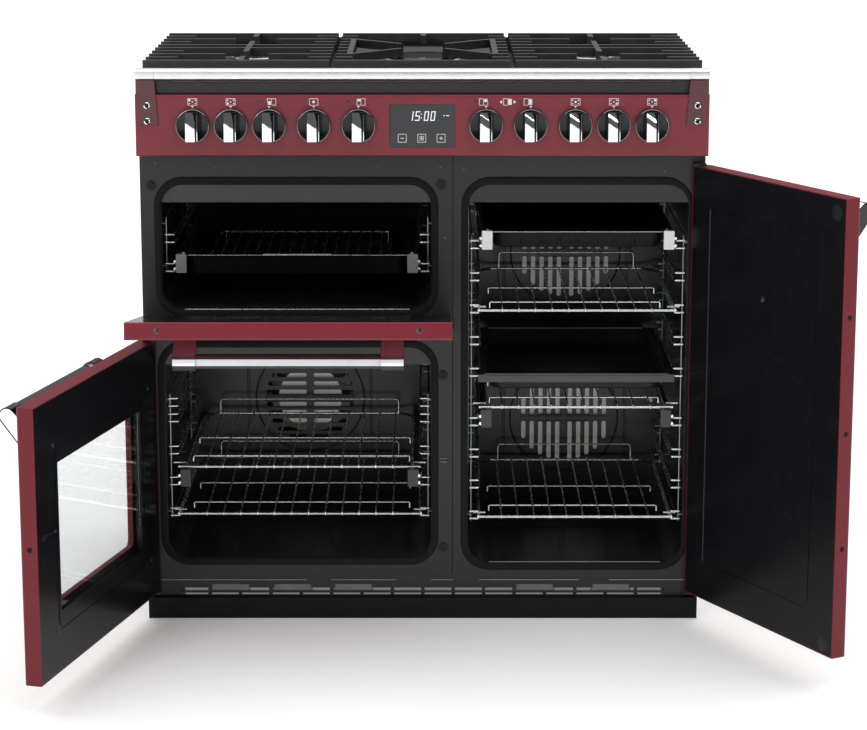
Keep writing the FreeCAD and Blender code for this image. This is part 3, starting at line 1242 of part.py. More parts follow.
node("front_rail", front_rail())
hob = hob_sheet()
tubes = [rod((x, y, HOB_Z - 2 * HOB_T), (0, 0, 1), MIXER_R, 3 * HOB_T) for x, y, r in burner_sites()]
node("hob_sheet", [hob.cut(tubes)])
node("burner_heads", [burner_body(*site) for site in burner_sites()])
node("burner_caps", [burner_cap(*site) for site in burner_sites()])
right_support = side_support()
node("pan_support_right", [right_support])
node("pan_support_left", [mirrored(right_support)])
node("pan_support_middle", [middle_support()])

for name, shape in NODES.items():
    shape.exportStep("parts/" + name + ".step")
print(len(NODES), "nodes")
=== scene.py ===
import json
import math

import bmesh
import bpy
from mathutils import Matrix, Vector


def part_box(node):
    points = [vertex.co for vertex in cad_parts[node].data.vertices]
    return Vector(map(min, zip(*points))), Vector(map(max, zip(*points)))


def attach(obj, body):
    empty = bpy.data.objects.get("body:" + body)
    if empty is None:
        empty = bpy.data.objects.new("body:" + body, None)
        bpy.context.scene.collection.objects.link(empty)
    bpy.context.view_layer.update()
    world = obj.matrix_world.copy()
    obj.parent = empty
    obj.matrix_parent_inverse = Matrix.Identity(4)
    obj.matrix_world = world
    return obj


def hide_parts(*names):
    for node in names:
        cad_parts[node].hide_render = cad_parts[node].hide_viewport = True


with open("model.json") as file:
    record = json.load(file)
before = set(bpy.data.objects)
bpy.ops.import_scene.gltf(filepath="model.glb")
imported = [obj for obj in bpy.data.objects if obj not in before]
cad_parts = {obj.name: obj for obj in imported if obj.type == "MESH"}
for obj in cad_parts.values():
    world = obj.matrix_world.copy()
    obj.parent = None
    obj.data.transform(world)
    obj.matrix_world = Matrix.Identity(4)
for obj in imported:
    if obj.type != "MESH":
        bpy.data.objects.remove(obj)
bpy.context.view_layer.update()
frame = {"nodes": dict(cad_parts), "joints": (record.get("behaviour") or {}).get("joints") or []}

# Freestanding range cooker, in metres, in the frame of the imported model:
# origin on the floor, +X right, -Y front, +Z up. Sizes written in mm are scaled by MM.
MM = 0.001
NODES = frame["nodes"]
JOINTS = {j["name"]: j for j in frame["joints"]}

# ---- places taken from the frame ----
PANEL_LOW, PANEL_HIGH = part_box("control_panel")
RAIL_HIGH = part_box("front_rail")[1]
FRAME_LOW, FRAME_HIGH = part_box("front_frame")
GUARD_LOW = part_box("fan_guards")[0]
FRONT = PANEL_LOW.y
FRAME_Y = FRAME_LOW.y
HALF_W = PANEL_HIGH.x
RIB_T = 3.0 * MM
GUARD_Y = GUARD_LOW.y + RIB_T
LINER_T = 1.5 * MM


def cavity(node):
    """Inside of an oven liner: x0, x1, z0, z1."""
    low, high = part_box(node)
    return low.x + LINER_T, high.x - LINER_T, low.z + LINER_T, high.z - LINER_T


GRILL = cavity("grill_liner")
LEFT = cavity("left_oven_liner")
TALL = cavity("tall_oven_liner")
CAVITY_R = 35.0 * MM


# ---- materials ----
def shader(name, colour, roughness, metallic=0.0, coat=0.0, coat_roughness=0.08, mottle=(60.0, 0.08),
           grain=(900.0, 0.00002), rough_vary=0.06, stretch=None, transmission=0.0, ior=1.5, glow=0.0,
           shine=0.5):
    """Principled surface with procedural variation in colour and roughness, and a fine bump."""
    made = bpy.data.materials.new(name)
    made.use_nodes = True
    tree = made.node_tree
    bsdf = tree.nodes["Principled BSDF"]
    bsdf.inputs["Metallic"].default_value = metallic
    bsdf.inputs["Coat Weight"].default_value = coat
    bsdf.inputs["Coat Roughness"].default_value = coat_roughness
    bsdf.inputs["Transmission Weight"].default_value = transmission
    bsdf.inputs["IOR"].default_value = ior
    bsdf.inputs["Specular IOR Level"].default_value = shine
    if glow:
        bsdf.inputs["Emission Color"].default_value = (*colour, 1)
        bsdf.inputs["Emission Strength"].default_value = glow

    def add(kind, **values):
        item = tree.nodes.new(kind)
        for key, value in values.items():
            item.inputs[key].default_value = value
        return item

    place = tree.nodes.new("ShaderNodeTexCoord")
    spot = place.outputs["Object"]
    if stretch:
        scaled = add("ShaderNodeMapping", Scale=stretch)
        tree.links.new(spot, scaled.inputs["Vector"])
        spot = scaled.outputs["Vector"]
    cloud = add("ShaderNodeTexNoise", Scale=mottle[0], Detail=3.0)
    tree.links.new(spot, cloud.inputs["Vector"])
    ramp = tree.nodes.new("ShaderNodeValToRGB")
    ramp.color_ramp.elements[0].position = 0.3
    ramp.color_ramp.elements[1].position = 0.7
    ramp.color_ramp.elements[0].color = (*[c * (1 - mottle[1]) for c in colour], 1)
    ramp.color_ramp.elements[1].color = (*[min(1.0, c * (1 + mottle[1])) for c in colour], 1)
    tree.links.new(cloud.outputs["Fac"], ramp.inputs["Fac"])
    tree.links.new(ramp.outputs["Color"], bsdf.inputs["Base Color"])
    spread = add("ShaderNodeMapRange")
    spread.inputs["To Min"].default_value = max(0.0, roughness - rough_vary)
    spread.inputs["To Max"].default_value = min(1.0, roughness + rough_vary)
    tree.links.new(cloud.outputs["Fac"], spread.inputs["Value"])
    tree.links.new(spread.outputs["Result"], bsdf.inputs["Roughness"])
    if grain[1]:
        fine = add("ShaderNodeTexNoise", Scale=grain[0], Detail=2.0)
        tree.links.new(spot, fine.inputs["Vector"])
        bump = add("ShaderNodeBump", Distance=grain[1], Strength=0.6)
        tree.links.new(fine.outputs["Fac"], bump.inputs["Height"])
        tree.links.new(bump.outputs["Normal"], bsdf.inputs["Normal"])
    return made


def woven(name, colour, pitch):
    """Braided glass-fibre rope."""
    made = shader(name, colour, 0.8, mottle=(400.0, 0.3), grain=(0.0, 0.0), shine=0.2)
    tree = made.node_tree
    place = tree.nodes.new("ShaderNodeTexCoord")
    wave = tree.nodes.new("ShaderNodeTexWave")
    wave.bands_direction = "DIAGONAL"
    wave.inputs["Scale"].default_value = 1.0 / pitch
    wave.inputs["Distortion"].default_value = 1.5
    bump = tree.nodes.new("ShaderNodeBump")
    bump.inputs["Distance"].default_value = 0.0004
    tree.links.new(place.outputs["Object"], wave.inputs["Vector"])
    tree.links.new(wave.outputs["Fac"], bump.inputs["Height"])
    tree.links.new(bump.outputs["Normal"], tree.nodes["Principled BSDF"].inputs["Normal"])
    return made


ENAMEL = shader("black_enamel", (0.008, 0.008, 0.009), 0.22, mottle=(25.0, 0.12), grain=(1400.0, 0.000004),
                rough_vary=0.03, shine=0.12)
CAVITY_ENAMEL = shader("cavity_enamel", (0.014, 0.014, 0.015), 0.24, mottle=(14.0, 0.15),
                       grain=(1100.0, 0.000005), rough_vary=0.04, shine=0.4)
SATIN = shader("satin_black", (0.014, 0.014, 0.015), 0.42, mottle=(30.0, 0.06), grain=(1500.0, 0.000006),
               rough_vary=0.04, shine=0.42)
PLINTH_BLACK = shader("plinth_black", (0.007, 0.007, 0.007), 0.45, mottle=(30.0, 0.1),
                      grain=(1500.0, 0.00001), shine=0.15)
RED = shader("red_enamel", (0.190, 0.012, 0.024), 0.36, coat=0.12, coat_roughness=0.16, shine=0.42,
             mottle=(18.0, 0.04),
             grain=(700.0, 0.00001), rough_vary=0.04)
DOOR_RED = shader("door_red_enamel", (0.150, 0.0085, 0.0175), 0.38, coat=0.05, coat_roughness=0.2, shine=0.26,
                  mottle=(18.0, 0.04), grain=(700.0, 0.00001), rough_vary=0.04)
# Red painted on as the door's reflection in the chrome root of the handle brackets.
RED_REFLECTION_PAINT = shader("deep_red_enamel", (0.048, 0.003, 0.008), 0.34, mottle=(18.0, 0.06), shine=0.3)
# Darker red as painted shade: the rail end brackets and the sheet behind the vent slots.
SHADED_RED_PAINT = shader("dark_red_enamel", (0.075, 0.006, 0.012), 0.3, coat=0.4, mottle=(18.0, 0.06))
CHROME = shader("chrome", (0.82, 0.83, 0.84), 0.07, metallic=1.0, mottle=(40.0, 0.02), rough_vary=0.02,
                grain=(500.0, 0.000002))
BRUSHED = shader("brushed_trim", (0.42, 0.43, 0.44), 0.25, metallic=1.0, mottle=(200.0, 0.05),
                 stretch=(0.05, 1.0, 1.0), grain=(2500.0, 0.000008))
WIRE = shader("chromed_wire", (0.82, 0.83, 0.84), 0.27, metallic=1.0, mottle=(90.0, 0.06),
              grain=(800.0, 0.0000008))
RACK_WIRE = shader("rack_wire", (0.36, 0.365, 0.37), 0.34, metallic=1.0, mottle=(90.0, 0.06))
ZINC = shader("zinc_plate", (0.30, 0.305, 0.31), 0.36, metallic=1.0, mottle=(45.0, 0.18),
              grain=(300.0, 0.00002))
VENT_GREY = shader("vent_grey", (0.17, 0.17, 0.172), 0.45, mottle=(60.0, 0.1), grain=(900.0, 0.00001),
                   shine=0.3)
# One runner block material in three tones: the dark copy is painted shade for the shelf runners, the pale
# copy painted light for the top tray's runners.
BLOCK = shader("runner_block", (0.20, 0.20, 0.205), 0.4, metallic=0.3, mottle=(120.0, 0.05))
BLOCK_SHADE_PAINTED = shader("runner_block_dark", (0.05, 0.05, 0.052), 0.4, metallic=0.3, mottle=(120.0, 0.05))
BLOCK_LIT_PAINTED = shader("runner_block_pale", (0.78, 0.79, 0.80), 0.35, mottle=(120.0, 0.03))
RAIL_METAL = shader("rail_metal", (0.86, 0.87, 0.88), 0.32, metallic=0.7, mottle=(40.0, 0.02))
# Painted highlight and painted dark reflection bands for the chrome handles.
HIGHLIGHT_PAINT = shader("polished_facet", (0.90, 0.90, 0.91), 0.3, metallic=0.3, mottle=(40.0, 0.02))
DARK_REFLECTION_PAINT = shader("shaded_facet", (0.045, 0.045, 0.047), 0.35, metallic=0.4, mottle=(40.0, 0.05))
GRILL_ENAMEL = shader("grill_enamel", (0.02, 0.02, 0.021), 0.27, mottle=(14.0, 0.15),
                      grain=(1100.0, 0.000005))
TIN_ENAMEL = shader("tin_enamel", (0.045, 0.045, 0.047), 0.3, mottle=(20.0, 0.12), grain=(1100.0, 0.000005))
RIM = shader("knob_rim", (0.30, 0.30, 0.31), 0.2, metallic=1.0, mottle=(60.0, 0.04))
GRATING = shader("cast_iron", (0.026, 0.026, 0.028), 0.48, mottle=(70.0, 0.2), grain=(650.0, 0.00008),
                 rough_vary=0.08)
ALUMINIUM = shader("burner_aluminium", (0.52, 0.52, 0.51), 0.30, metallic=1.0, mottle=(80.0, 0.12),
                   grain=(900.0, 0.00003))
HEATED = shader("heated_steel", (0.20, 0.18, 0.16), 0.42, metallic=1.0, mottle=(35.0, 0.3))
# Glow painted on: the air rings and lamp bosses shine as if lit by the oven lamp.
ALUMINISED_PAINTED_GLOW = shader("aluminised_steel", (0.62, 0.62, 0.61), 0.45, metallic=0.2, mottle=(60.0, 0.1), glow=0.13)
GLOSS_BLACK = shader("gloss_black_plastic", (0.006, 0.006, 0.007), 0.14, mottle=(40.0, 0.1),
                     grain=(900.0, 0.000002), rough_vary=0.03, shine=0.35)
MATTE_BLACK = shader("matte_black_plastic", (0.012, 0.012, 0.012), 0.5, mottle=(60.0, 0.15), shine=0.25)
DISPLAY_GLASS = shader("display_glass", (0.034, 0.035, 0.037), 0.2, mottle=(20.0, 0.04),
                       grain=(900.0, 0.000002), rough_vary=0.03, shine=0.4)
GLASS = shader("clear_glass", (0.985, 0.99, 0.988), 0.02, mottle=(30.0, 0.004), grain=(90.0, 0.0),
               rough_vary=0.008, transmission=1.0, ior=1.3)
INK = shader("white_ink", (0.84, 0.80, 0.80), 0.6, mottle=(300.0, 0.05))
LIT_INK = shader("lit_digits", (0.80, 0.82, 0.83), 0.5, mottle=(300.0, 0.03), glow=0.3)
LAMP_GREY = shader("lamp_off", (0.05, 0.03, 0.032), 0.3)
SEAL = woven("rope_seal", (0.010, 0.010, 0.011), 0.004)
WOOL = shader("mineral_wool", (0.44, 0.38, 0.22), 0.95, mottle=(220.0, 0.35), grain=(500.0, 0.0012))
SCREW = shader("dark_screw", (0.10, 0.10, 0.105), 0.35, metallic=1.0, mottle=(200.0, 0.1))

FINISHES = {
    PLINTH_BLACK: ["plinth"],
    SATIN: ["front_frame", "cabinet_panels", "door_hinges", "hob_sheet"],
    VENT_GREY: ["base_tray"],
    ZINC: ["gas_manifold", "levelling_feet", "fan_motors"],
    GRILL_ENAMEL: ["grill_liner"],
    CAVITY_ENAMEL: ["left_oven_liner", "tall_oven_liner", "fan_guards"],
    ENAMEL: ["grill_door_inner_panel", "left_door_inner_panel", "right_door_inner_panel"],
    RED: ["grill_door_shell", "control_panel"],
    DOOR_RED: ["left_door_shell", "right_door_shell"],
    WOOL: ["insulation"],
    HEATED: ["heating_elements", "fan_rotor_left", "fan_rotor_tall_lower", "fan_rotor_tall_upper"],
    GLASS: ["left_door_glass"],
    MATTE_BLACK: ["oven_switches", "terminal_box"],
    GRATING: ["pan_support_left", "pan_support_middle", "pan_support_right"],
}


def finish_nodes():
    """Gives each CAD node that shows its procedural material."""
    for material, names in FINISHES.items():
        for name in names:
            for item in NODES[name].material_slots:
                item.material = material


def soften(name, width, segments=2):
    """Small rounding along the edges of a CAD node."""
    rounding = NODES[name].modifiers.new("edge_rounding", "BEVEL")
    rounding.width = width
    rounding.segments = segments
    rounding.limit_method = "ANGLE"
    rounding.angle_limit = math.radians(50)
    rounding.use_clamp_overlap = True
    rounding.harden_normals = True


# ---- flat outlines and solid parts ----
def sized(*pairs):
    """Pairs written in mm, in metres."""
    return [(a * MM, b * MM) for a, b in pairs]


def round_rect(a0, a1, b0, b1, radius, steps=6):
    """Rounded rectangle as points, anticlockwise."""
    points = []
    corners = ((a1, b0, -90), (a1, b1, 0), (a0, b1, 90), (a0, b0, 180))
    for a, b, start in corners:
        ca = a - radius if a == a1 else a + radius
        cb = b - radius if b == b1 else b + radius
        for step in range(steps + 1):
            turn = math.radians(start + 90.0 * step / steps)
            points.append((ca + radius * math.cos(turn), cb + radius * math.sin(turn)))
    return points


def place(axis, a, b, c):
    """Point with a and b across an axis and c along it."""
    return {"X": Vector((c, a, b)), "Y": Vector((a, c, b)), "Z": Vector((a, b, c))}[axis]


def prism(axis, outline, c0, c1):
    """Outline pushed along an axis."""
    count = len(outline)
    points = [place(axis, a, b, c) for c in (c0, c1) for a, b in outline]
    faces = [tuple(range(count)), tuple(range(count, 2 * count))]
    faces += [(i, (i + 1) % count, count + (i + 1) % count, count + i) for i in range(count)]
    return points, faces


def brick(x0, x1, y0, y1, z0, z1):
    """Rectangular part between two corners."""
    return prism("Z", [(x0, y0), (x1, y0), (x1, y1), (x0, y1)], z0, z1)


def hoop(axis, outer, inner, c0, c1):
    """Outline with a matching hole, pushed along an axis."""
    count = len(outer)
    points = [place(axis, a, b, c) for ring, c in ((outer, c0), (outer, c1), (inner, c1), (inner, c0))
              for a, b in ring]
    faces = []
    for band in range(4):
        for i in range(count):
            j = (i + 1) % count
            low, high = band * count, ((band + 1) % 4) * count
            faces.append((low + i, low + j, high + j, high + i))
    return points, faces


def loft(rings, looped=False):
    """Skin through rings of equal count, with end faces, or looped back to the first ring."""
    count, bands = len(rings[0]), len(rings)
    points = [Vector(p) for ring in rings for p in ring]
    faces = [] if looped else [tuple(range(count)), tuple(range((bands - 1) * count, bands * count))]
    for band in range(bands if looped else bands - 1):
        for i in range(count):
            j = (i + 1) % count
            low, high = band * count, ((band + 1) % bands) * count
            faces.append((low + i, low + j, high + j, high + i))
    return points, faces


def lathe(profile, centre, axis, segments=40, looped=False):
    """Profile of (radius, distance along axis) turned about a centre line."""
    axis = Vector(axis).normalized()
    side = axis.orthogonal().normalized()
    other = axis.cross(side)
    rings = []
    for radius, along in profile:
        ring = []
        for i in range(segments):
            turn = 2 * math.pi * i / segments
            out = side * math.cos(turn) + other * math.sin(turn)
            ring.append(Vector(centre) + axis * along + out * max(radius, 1e-5))
        rings.append(ring)
    return loft(rings, looped)


def moved(part, matrix):
    """Part with its points carried through a matrix."""
    return [matrix @ p for p in part[0]], part[1]


def own(obj, material, body, replaced=()):
    """Material, body and finish slot of a new piece."""
    if material:
        obj.data.materials.append(material)
    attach(obj, body)
    if replaced:
        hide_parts(*replaced)
    return obj


def solid(name, parts, material, body, replaced=(), rounding=0.0, smooth=40.0, segments=2):
    """One piece made of several closed parts."""
    points, faces = [], []
    for part_points, part_faces in parts:
        start = len(points)
        points += part_points
        faces += [tuple(start + i for i in face) for face in part_faces]
    mesh = bpy.data.meshes.new(name)
    mesh.from_pydata([tuple(p) for p in points], [], faces)
    work = bmesh.new()
    work.from_mesh(mesh)
    bmesh.ops.recalc_face_normals(work, faces=work.faces)
    work.to_mesh(mesh)
    work.free()
    mesh.polygons.foreach_set("use_smooth", [True] * len(mesh.polygons))
    mesh.set_sharp_from_angle(angle=math.radians(smooth))
    obj = bpy.data.objects.new(name, mesh)
    bpy.context.scene.collection.objects.link(obj)
    if rounding:
        edge = obj.modifiers.new("edge_rounding", "BEVEL")
        edge.width = rounding
        edge.segments = segments
        edge.limit_method = "ANGLE"
        edge.angle_limit = math.radians(40)
        edge.harden_normals = True
    return own(obj, material, body, replaced)


# ---- wires ----
def bend(points, radius, closed=False, steps=5):
    """Path with its corners rounded."""
    points = [Vector(p) for p in points]
    count = len(points)
    radii = radius if isinstance(radius, (list, tuple)) else [radius] * count
    path = []
    for i, corner in enumerate(points):
        if not closed and i in (0, count - 1):
            path.append(corner)
            continue
        before = points[i - 1] - corner
        after = points[(i + 1) % count] - corner
        half = before.angle(after) / 2
        cut = min(radii[i] / math.tan(half), 0.48 * before.length, 0.48 * after.length)
        start = corner + before.normalized() * cut
        end = corner + after.normalized() * cut
        for step in range(steps + 1):
            t = step / steps
            path.append(start * (1 - t) ** 2 + corner * (2 * t * (1 - t)) + end * t ** 2)
    return path


def wires(name, paths, radius, material, body, replaced=(), closed=False):
    """Round wires along paths, as one piece."""
    curve = bpy.data.curves.new(name, "CURVE")
    curve.dimensions = "3D"
    curve.bevel_depth = radius
    curve.bevel_resolution = 3
    curve.use_fill_caps = True
    for path in paths:
        spline = curve.splines.new("POLY")
        spline.points.add(len(path) - 1)
        for point, spot in zip(spline.points, path):
            point.co = (*spot, 1)
        spline.use_cyclic_u = closed
        spline.use_smooth = True
    obj = bpy.data.objects.new(name, curve)
    bpy.context.scene.collection.objects.link(obj)
    return own(obj, material, body, replaced)


# ---- doors: pieces are drawn closed and swung to the open rest position ----
def opening(joint_name):
    """Matrix that carries a closed door to its rest position."""
    joint = JOINTS[joint_name]
    pivot = Matrix.Translation(Vector(joint["pos_m"]))
    turn = Matrix.Rotation(math.radians(-joint["range_deg"][0]), 4, Vector(joint["axis"]))
    return pivot @ turn @ pivot.inverted()


def shut_box(node, matrix):
    """Box of a door node in its closed position."""
    back = matrix.inverted()
    spots = [back @ v.co for v in NODES[node].data.vertices]
    low = Vector([min(s[i] for s in spots) for i in range(3)])
    high = Vector([max(s[i] for s in spots) for i in range(3)])
    return low, high


GRILL_SWING = opening("grill_door_drop")
LEFT_SWING = opening("left_door_swing")
RIGHT_SWING = opening("right_door_swing")
GRILL_SHUT = shut_box("grill_door_shell", GRILL_SWING)
LEFT_SHUT = shut_box("left_door_shell", LEFT_SWING)
RIGHT_SHUT = shut_box("right_door_shell", RIGHT_SWING)


# ---- racks and shelves ----
RUNGS = {
    "grill": (59.9, 107.4),
    "left": (67.4, 119.7, 172.0, 225.9, 252.0),
    "tall": (70.2, 122.7, 175.0, 227.7, 310.2, 362.7, 415.2, 468.0, 520.7),
}
RUNG_PITCH = 12.5 * MM
RACK_FRONT = FRAME_Y + 21.5 * MM
RACK_BACK = FRAME_Y + 388.5 * MM
POST_IN = 5.2 * MM
RUNG_NEAR = 3.0 * MM
RUNG_REACH = 18.7 * MM
POST_PAST = {"grill": (3.0 * MM, 30.0 * MM), "left": (5.5 * MM, 9.0 * MM), "tall": (5.5 * MM, 9.0 * MM)}
POST_R = 1.25 * MM
RUNG_R = 1.6 * MM


def rack_paths(wall, inward, floor, label):
    """Paths of one wire ladder: its frame with wall studs, and a pair of loops for each shelf position."""
    post_x = wall + inward * POST_IN
    near_x = wall + inward * RUNG_NEAR
    far_x = wall + inward * RUNG_REACH
    rungs = RUNGS[label]
    low = floor + rungs[0] * MM - POST_PAST[label][0]
    high = floor + rungs[-1] * MM + RUNG_PITCH + POST_PAST[label][1]
    corners = [(post_x, RACK_FRONT, low), (post_x, RACK_FRONT, high), (post_x, RACK_BACK, high),
               (post_x, RACK_BACK, low)]
    closed = bend(corners, 5 * MM, closed=True)
    frame_paths = [closed + closed[:1]]
    for y in (RACK_FRONT, RACK_BACK):
        for z in (low + 12 * MM, high - 12 * MM):
            frame_paths.append([Vector((wall, y, z)), Vector((post_x, y, z))])
    rung_paths = []
    past = POST_R + RUNG_R
    for rung in rungs:
        for z in (floor + rung * MM, floor + rung * MM + RUNG_PITCH):
            rung_paths.append(bend([(near_x, RACK_FRONT - past, z), (far_x, RACK_FRONT - past, z),
                                    (far_x, RACK_BACK + past, z), (near_x, RACK_BACK + past, z)], 4 * MM))
    return frame_paths, rung_paths


def side_racks():
    """All six ladders: thin frames and thicker rungs."""
    frames, rungs = [], []
    for space, label in ((GRILL, "grill"), (LEFT, "left"), (TALL, "tall")):
        for wall, inward in ((space[0], 1), (space[1], -1)):
            more_frames, more_rungs = rack_paths(wall, inward, space[2], label)
            frames += more_frames
            rungs += more_rungs
    wires("side_rack_rungs", rungs, RUNG_R, WIRE, "chassis", ["side_racks"])
    wires("side_rack_frames", frames, POST_R, RACK_WIRE, "chassis")


RAIL_Z = (6.7 * MM, 26.7 * MM)
FIXED_NEAR, FIXED_T = 21.0 * MM, 6.0 * MM
SLIDE_NEAR, SLIDE_T = 27.3 * MM, 6.5 * MM
BLOCK_NEAR, BLOCK_W = 21.5 * MM, 17.0 * MM
BLOCK_LOW = 0.5 * MM
BLOCK_Y = FRAME_Y + 1.5 * MM
BLOCK_D = 6.0 * MM


def channel(wall, inward, near, thick, y0, y1, z0, z1, opens):
    """C-shaped rail with its open side inward or outward."""
    lip = 4.0 * MM
    sheet = 1.2 * MM
    a0, a1 = wall + inward * near, wall + inward * (near + thick)
    if not opens:
        a0, a1 = a1, a0
    s = sheet if a1 > a0 else -sheet
    outline = [(a0, z0), (a1, z0), (a1, z0 + lip), (a1 - s, z0 + lip), (a1 - s, z0 + sheet),
               (a0 + s, z0 + sheet),
               (a0 + s, z1 - sheet), (a1 - s, z1 - sheet), (a1 - s, z1 - lip), (a1, z1 - lip), (a1, z1),
               (a0, z1)]
    return prism("Y", outline, y0, y1)


def fixed_rails():
    """Fixed members of the telescopic runners, each clipped to its two rungs."""
    rails, clips, beads = [], [], []
    for space, label, index in ((GRILL, "grill", 0), (LEFT, "left", 1), (TALL, "tall", 3), (TALL, "tall", 8)):
        z = space[2] + RUNGS[label][index] * MM
        for wall, inward in ((space[0], 1), (space[1], -1)):
            rails.append(channel(wall, inward, FIXED_NEAR, FIXED_T, BLOCK_Y + 9 * MM, RACK_BACK,
                                 z + RAIL_Z[0],
                                 z + RAIL_Z[1], True))
            for y in (RACK_FRONT + 40 * MM, RACK_BACK - 60 * MM):
                x0, x1 = sorted((wall + inward * (RUNG_REACH - 3 * MM),
                                 wall + inward * (FIXED_NEAR + 1 * MM)))
                clips.append(brick(x0, x1, y, y + 14 * MM, z + 2.5 * MM, z + RUNG_PITCH - 2.5 * MM))
            for rise in (6.5, 17.0):
                spot = (wall + inward * 20.5 * MM, RACK_BACK + 3.0 * MM, z + rise * MM)
                beads.append(lathe(sized((0, 0), (2.8, 0), (3.8, 1.2), (3.6, 3.0), (2.0, 4.4), (0, 4.9)),
                                   spot, (0, -1, 0), 20))
    solid("fixed_runner_rails", rails, ZINC, "chassis", rounding=0.4 * MM)
    solid("runner_clips", clips, ZINC, "chassis", rounding=0.6 * MM)
    solid("runner_rear_beads", beads, CHROME, "chassis")


def slides(name, space, rung, body, material, block_top, replaced=()):
    """Moving members of one pair of runners with their front stop blocks."""
    z = space[2] + rung * MM
    rails, blocks, pegs = [], [], []
    for wall, inward in ((space[0], 1), (space[1], -1)):
        rails.append(channel(wall, inward, SLIDE_NEAR, SLIDE_T, BLOCK_Y + 1 * MM, RACK_BACK, z + RAIL_Z[0],
                             z + RAIL_Z[1], False))
        x0, x1 = sorted((wall + inward * BLOCK_NEAR, wall + inward * (BLOCK_NEAR + BLOCK_W)))
        face = round_rect(x0, x1, z + BLOCK_LOW, z + block_top, 1.6 * MM, 3)
        blocks.append(prism("Y", face, BLOCK_Y, BLOCK_Y + BLOCK_D))
        lug = wall + inward * (BLOCK_NEAR - 1.2 * MM)
        for low in (7.0, 19.0):
            pegs.append(lathe(sized((0, 0), (2.6, 0.3), (2.6, 4), (0, 4.5)),
                              (lug, BLOCK_Y + 0.8 * MM, z + low * MM), (0, 1, 0), 16))
        pegs.append(lathe(sized((0, 0), (3.2, 0), (3.2, 3.5), (1.8, 5), (0, 5.4)),
                          ((x0 + x1) / 2 + inward * 1.5 * MM, BLOCK_Y + 26 * MM, z + RAIL_Z[1] - 0.2 * MM),
                          (0, 0, 1), 16))
    solid(name + "_rails", rails, ZINC, body, replaced, rounding=0.4 * MM)
    solid(name + "_blocks", blocks, material, body, rounding=0.7 * MM)
    solid(name + "_pegs", pegs, WIRE, body)


SHELF_INSET = 15.5 * MM
CARRIED_INSET = 27.6 * MM
SHELF_FRONT = FRAME_Y + 9.5 * MM
SHELF_BACK = FRAME_Y + 386.0 * MM
FENCE_INSET = 58.0 * MM
FENCE_H = 32.0 * MM
BAR_R = 2.2 * MM
CROSS_R = 1.5 * MM
THIN_R = 1.3 * MM
CROSS_IN = 36.0 * MM
CROSS_DROP = 9.5 * MM
CROSS_SHARES = (0.19, 0.52)


def shelf(node, space, frame_inset, z, count, first):
    """Wire shelf: front bar, side frame, bent cross bars, thin long wires and a back fence."""
    x0, x1 = space[0] + SHELF_INSET + BAR_R, space[1] - SHELF_INSET - BAR_R
    side0, side1 = space[0] + frame_inset + BAR_R, space[1] - frame_inset - BAR_R
    y0, y1 = SHELF_FRONT + BAR_R, SHELF_BACK - BAR_R
    low, top = z + BAR_R, z + 2 * BAR_R + THIN_R
    bars = [[Vector((x0, y0, low)), Vector((x1, y0, low))]]
    crosses = []
    for x, wall, inward in ((side0, space[0], 1), (side1, space[1], -1)):
        bars.append(bend([(x, y0, low), (x, y1 - 24 * MM, low), (x + inward * 26 * MM, y1, low),
                          (wall + inward * (FENCE_INSET + 8 * MM), y1, low)], 6 * MM))
        y = y0 + 14 * MM
        crosses.append([Vector((wall + inward * 9 * MM, y, top)), Vector((wall + inward * 29 * MM, y, top))])
    a0, a1 = space[0] + FENCE_INSET, space[1] - FENCE_INSET
    bars.append([Vector((a0 - 6 * MM, y1, low)), Vector((a1 + 6 * MM, y1, low))])
    fence_top = min(z + FENCE_H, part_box(node)[1].z) - THIN_R
    fence = [bend([(a0, y1, low), (a0, y1, fence_top), (a1, y1, fence_top), (a1, y1, low)], 7 * MM)]
    b0, b1 = space[0] + CROSS_IN, space[1] - CROSS_IN
    for share in CROSS_SHARES:
        y = y0 + (y1 - y0) * share
        crosses.append(bend([(b0, y, low - CROSS_DROP), (b0, y, low), (b1, y, low),
                             (b1, y, low - CROSS_DROP)],
                            3 * MM))
    thin = []
    for i in range(count):
        x = space[0] + first + (space[1] - space[0] - 2 * first) * i / (count - 1)
        thin.append(bend([(x, y0 - BAR_R - THIN_R, low - 1.5 * MM), (x, y0 - BAR_R - THIN_R, top),
                          (x, y1, top)],
                         1.6 * MM))
    wires(node + "_bars", bars, BAR_R, WIRE, node, [node])
    wires(node + "_cross_bars", crosses, CROSS_R, WIRE, node)
    wires(node + "_wires", thin + fence, THIN_R, WIRE, node)


def shelves():
    """The five shelves, two of them on telescopic runners."""
    lift = 2.8 * MM
    carried = 30.0 * MM
    left, tall = RUNGS["left"], RUNGS["tall"]
    left_first, tall_first = 63.0 * MM, 55.0 * MM
    block_top = 29.5 * MM
    shelf("left_lower_shelf", LEFT, SHELF_INSET, LEFT[2] + left[0] * MM + lift, 12, left_first)
    shelf("left_upper_shelf", LEFT, CARRIED_INSET, LEFT[2] + left[1] * MM + carried, 12, left_first)
    # Darker runner blocks: painted shade.
    slides("left_shelf_slides", LEFT, left[1], "left_upper_shelf", BLOCK_SHADE_PAINTED, block_top)
    shelf("tall_lower_shelf", TALL, SHELF_INSET, TALL[2] + tall[0] * MM + lift, 10, tall_first)
    shelf("tall_middle_shelf", TALL, CARRIED_INSET, TALL[2] + tall[3] * MM + carried, 10, tall_first)
    # Darker runner blocks: painted shade.
    slides("tall_shelf_slides", TALL, tall[3], "tall_middle_shelf", BLOCK_SHADE_PAINTED, block_top)
    shelf("tall_upper_shelf", TALL, SHELF_INSET, TALL[2] + tall[6] * MM + lift, 10, tall_first)


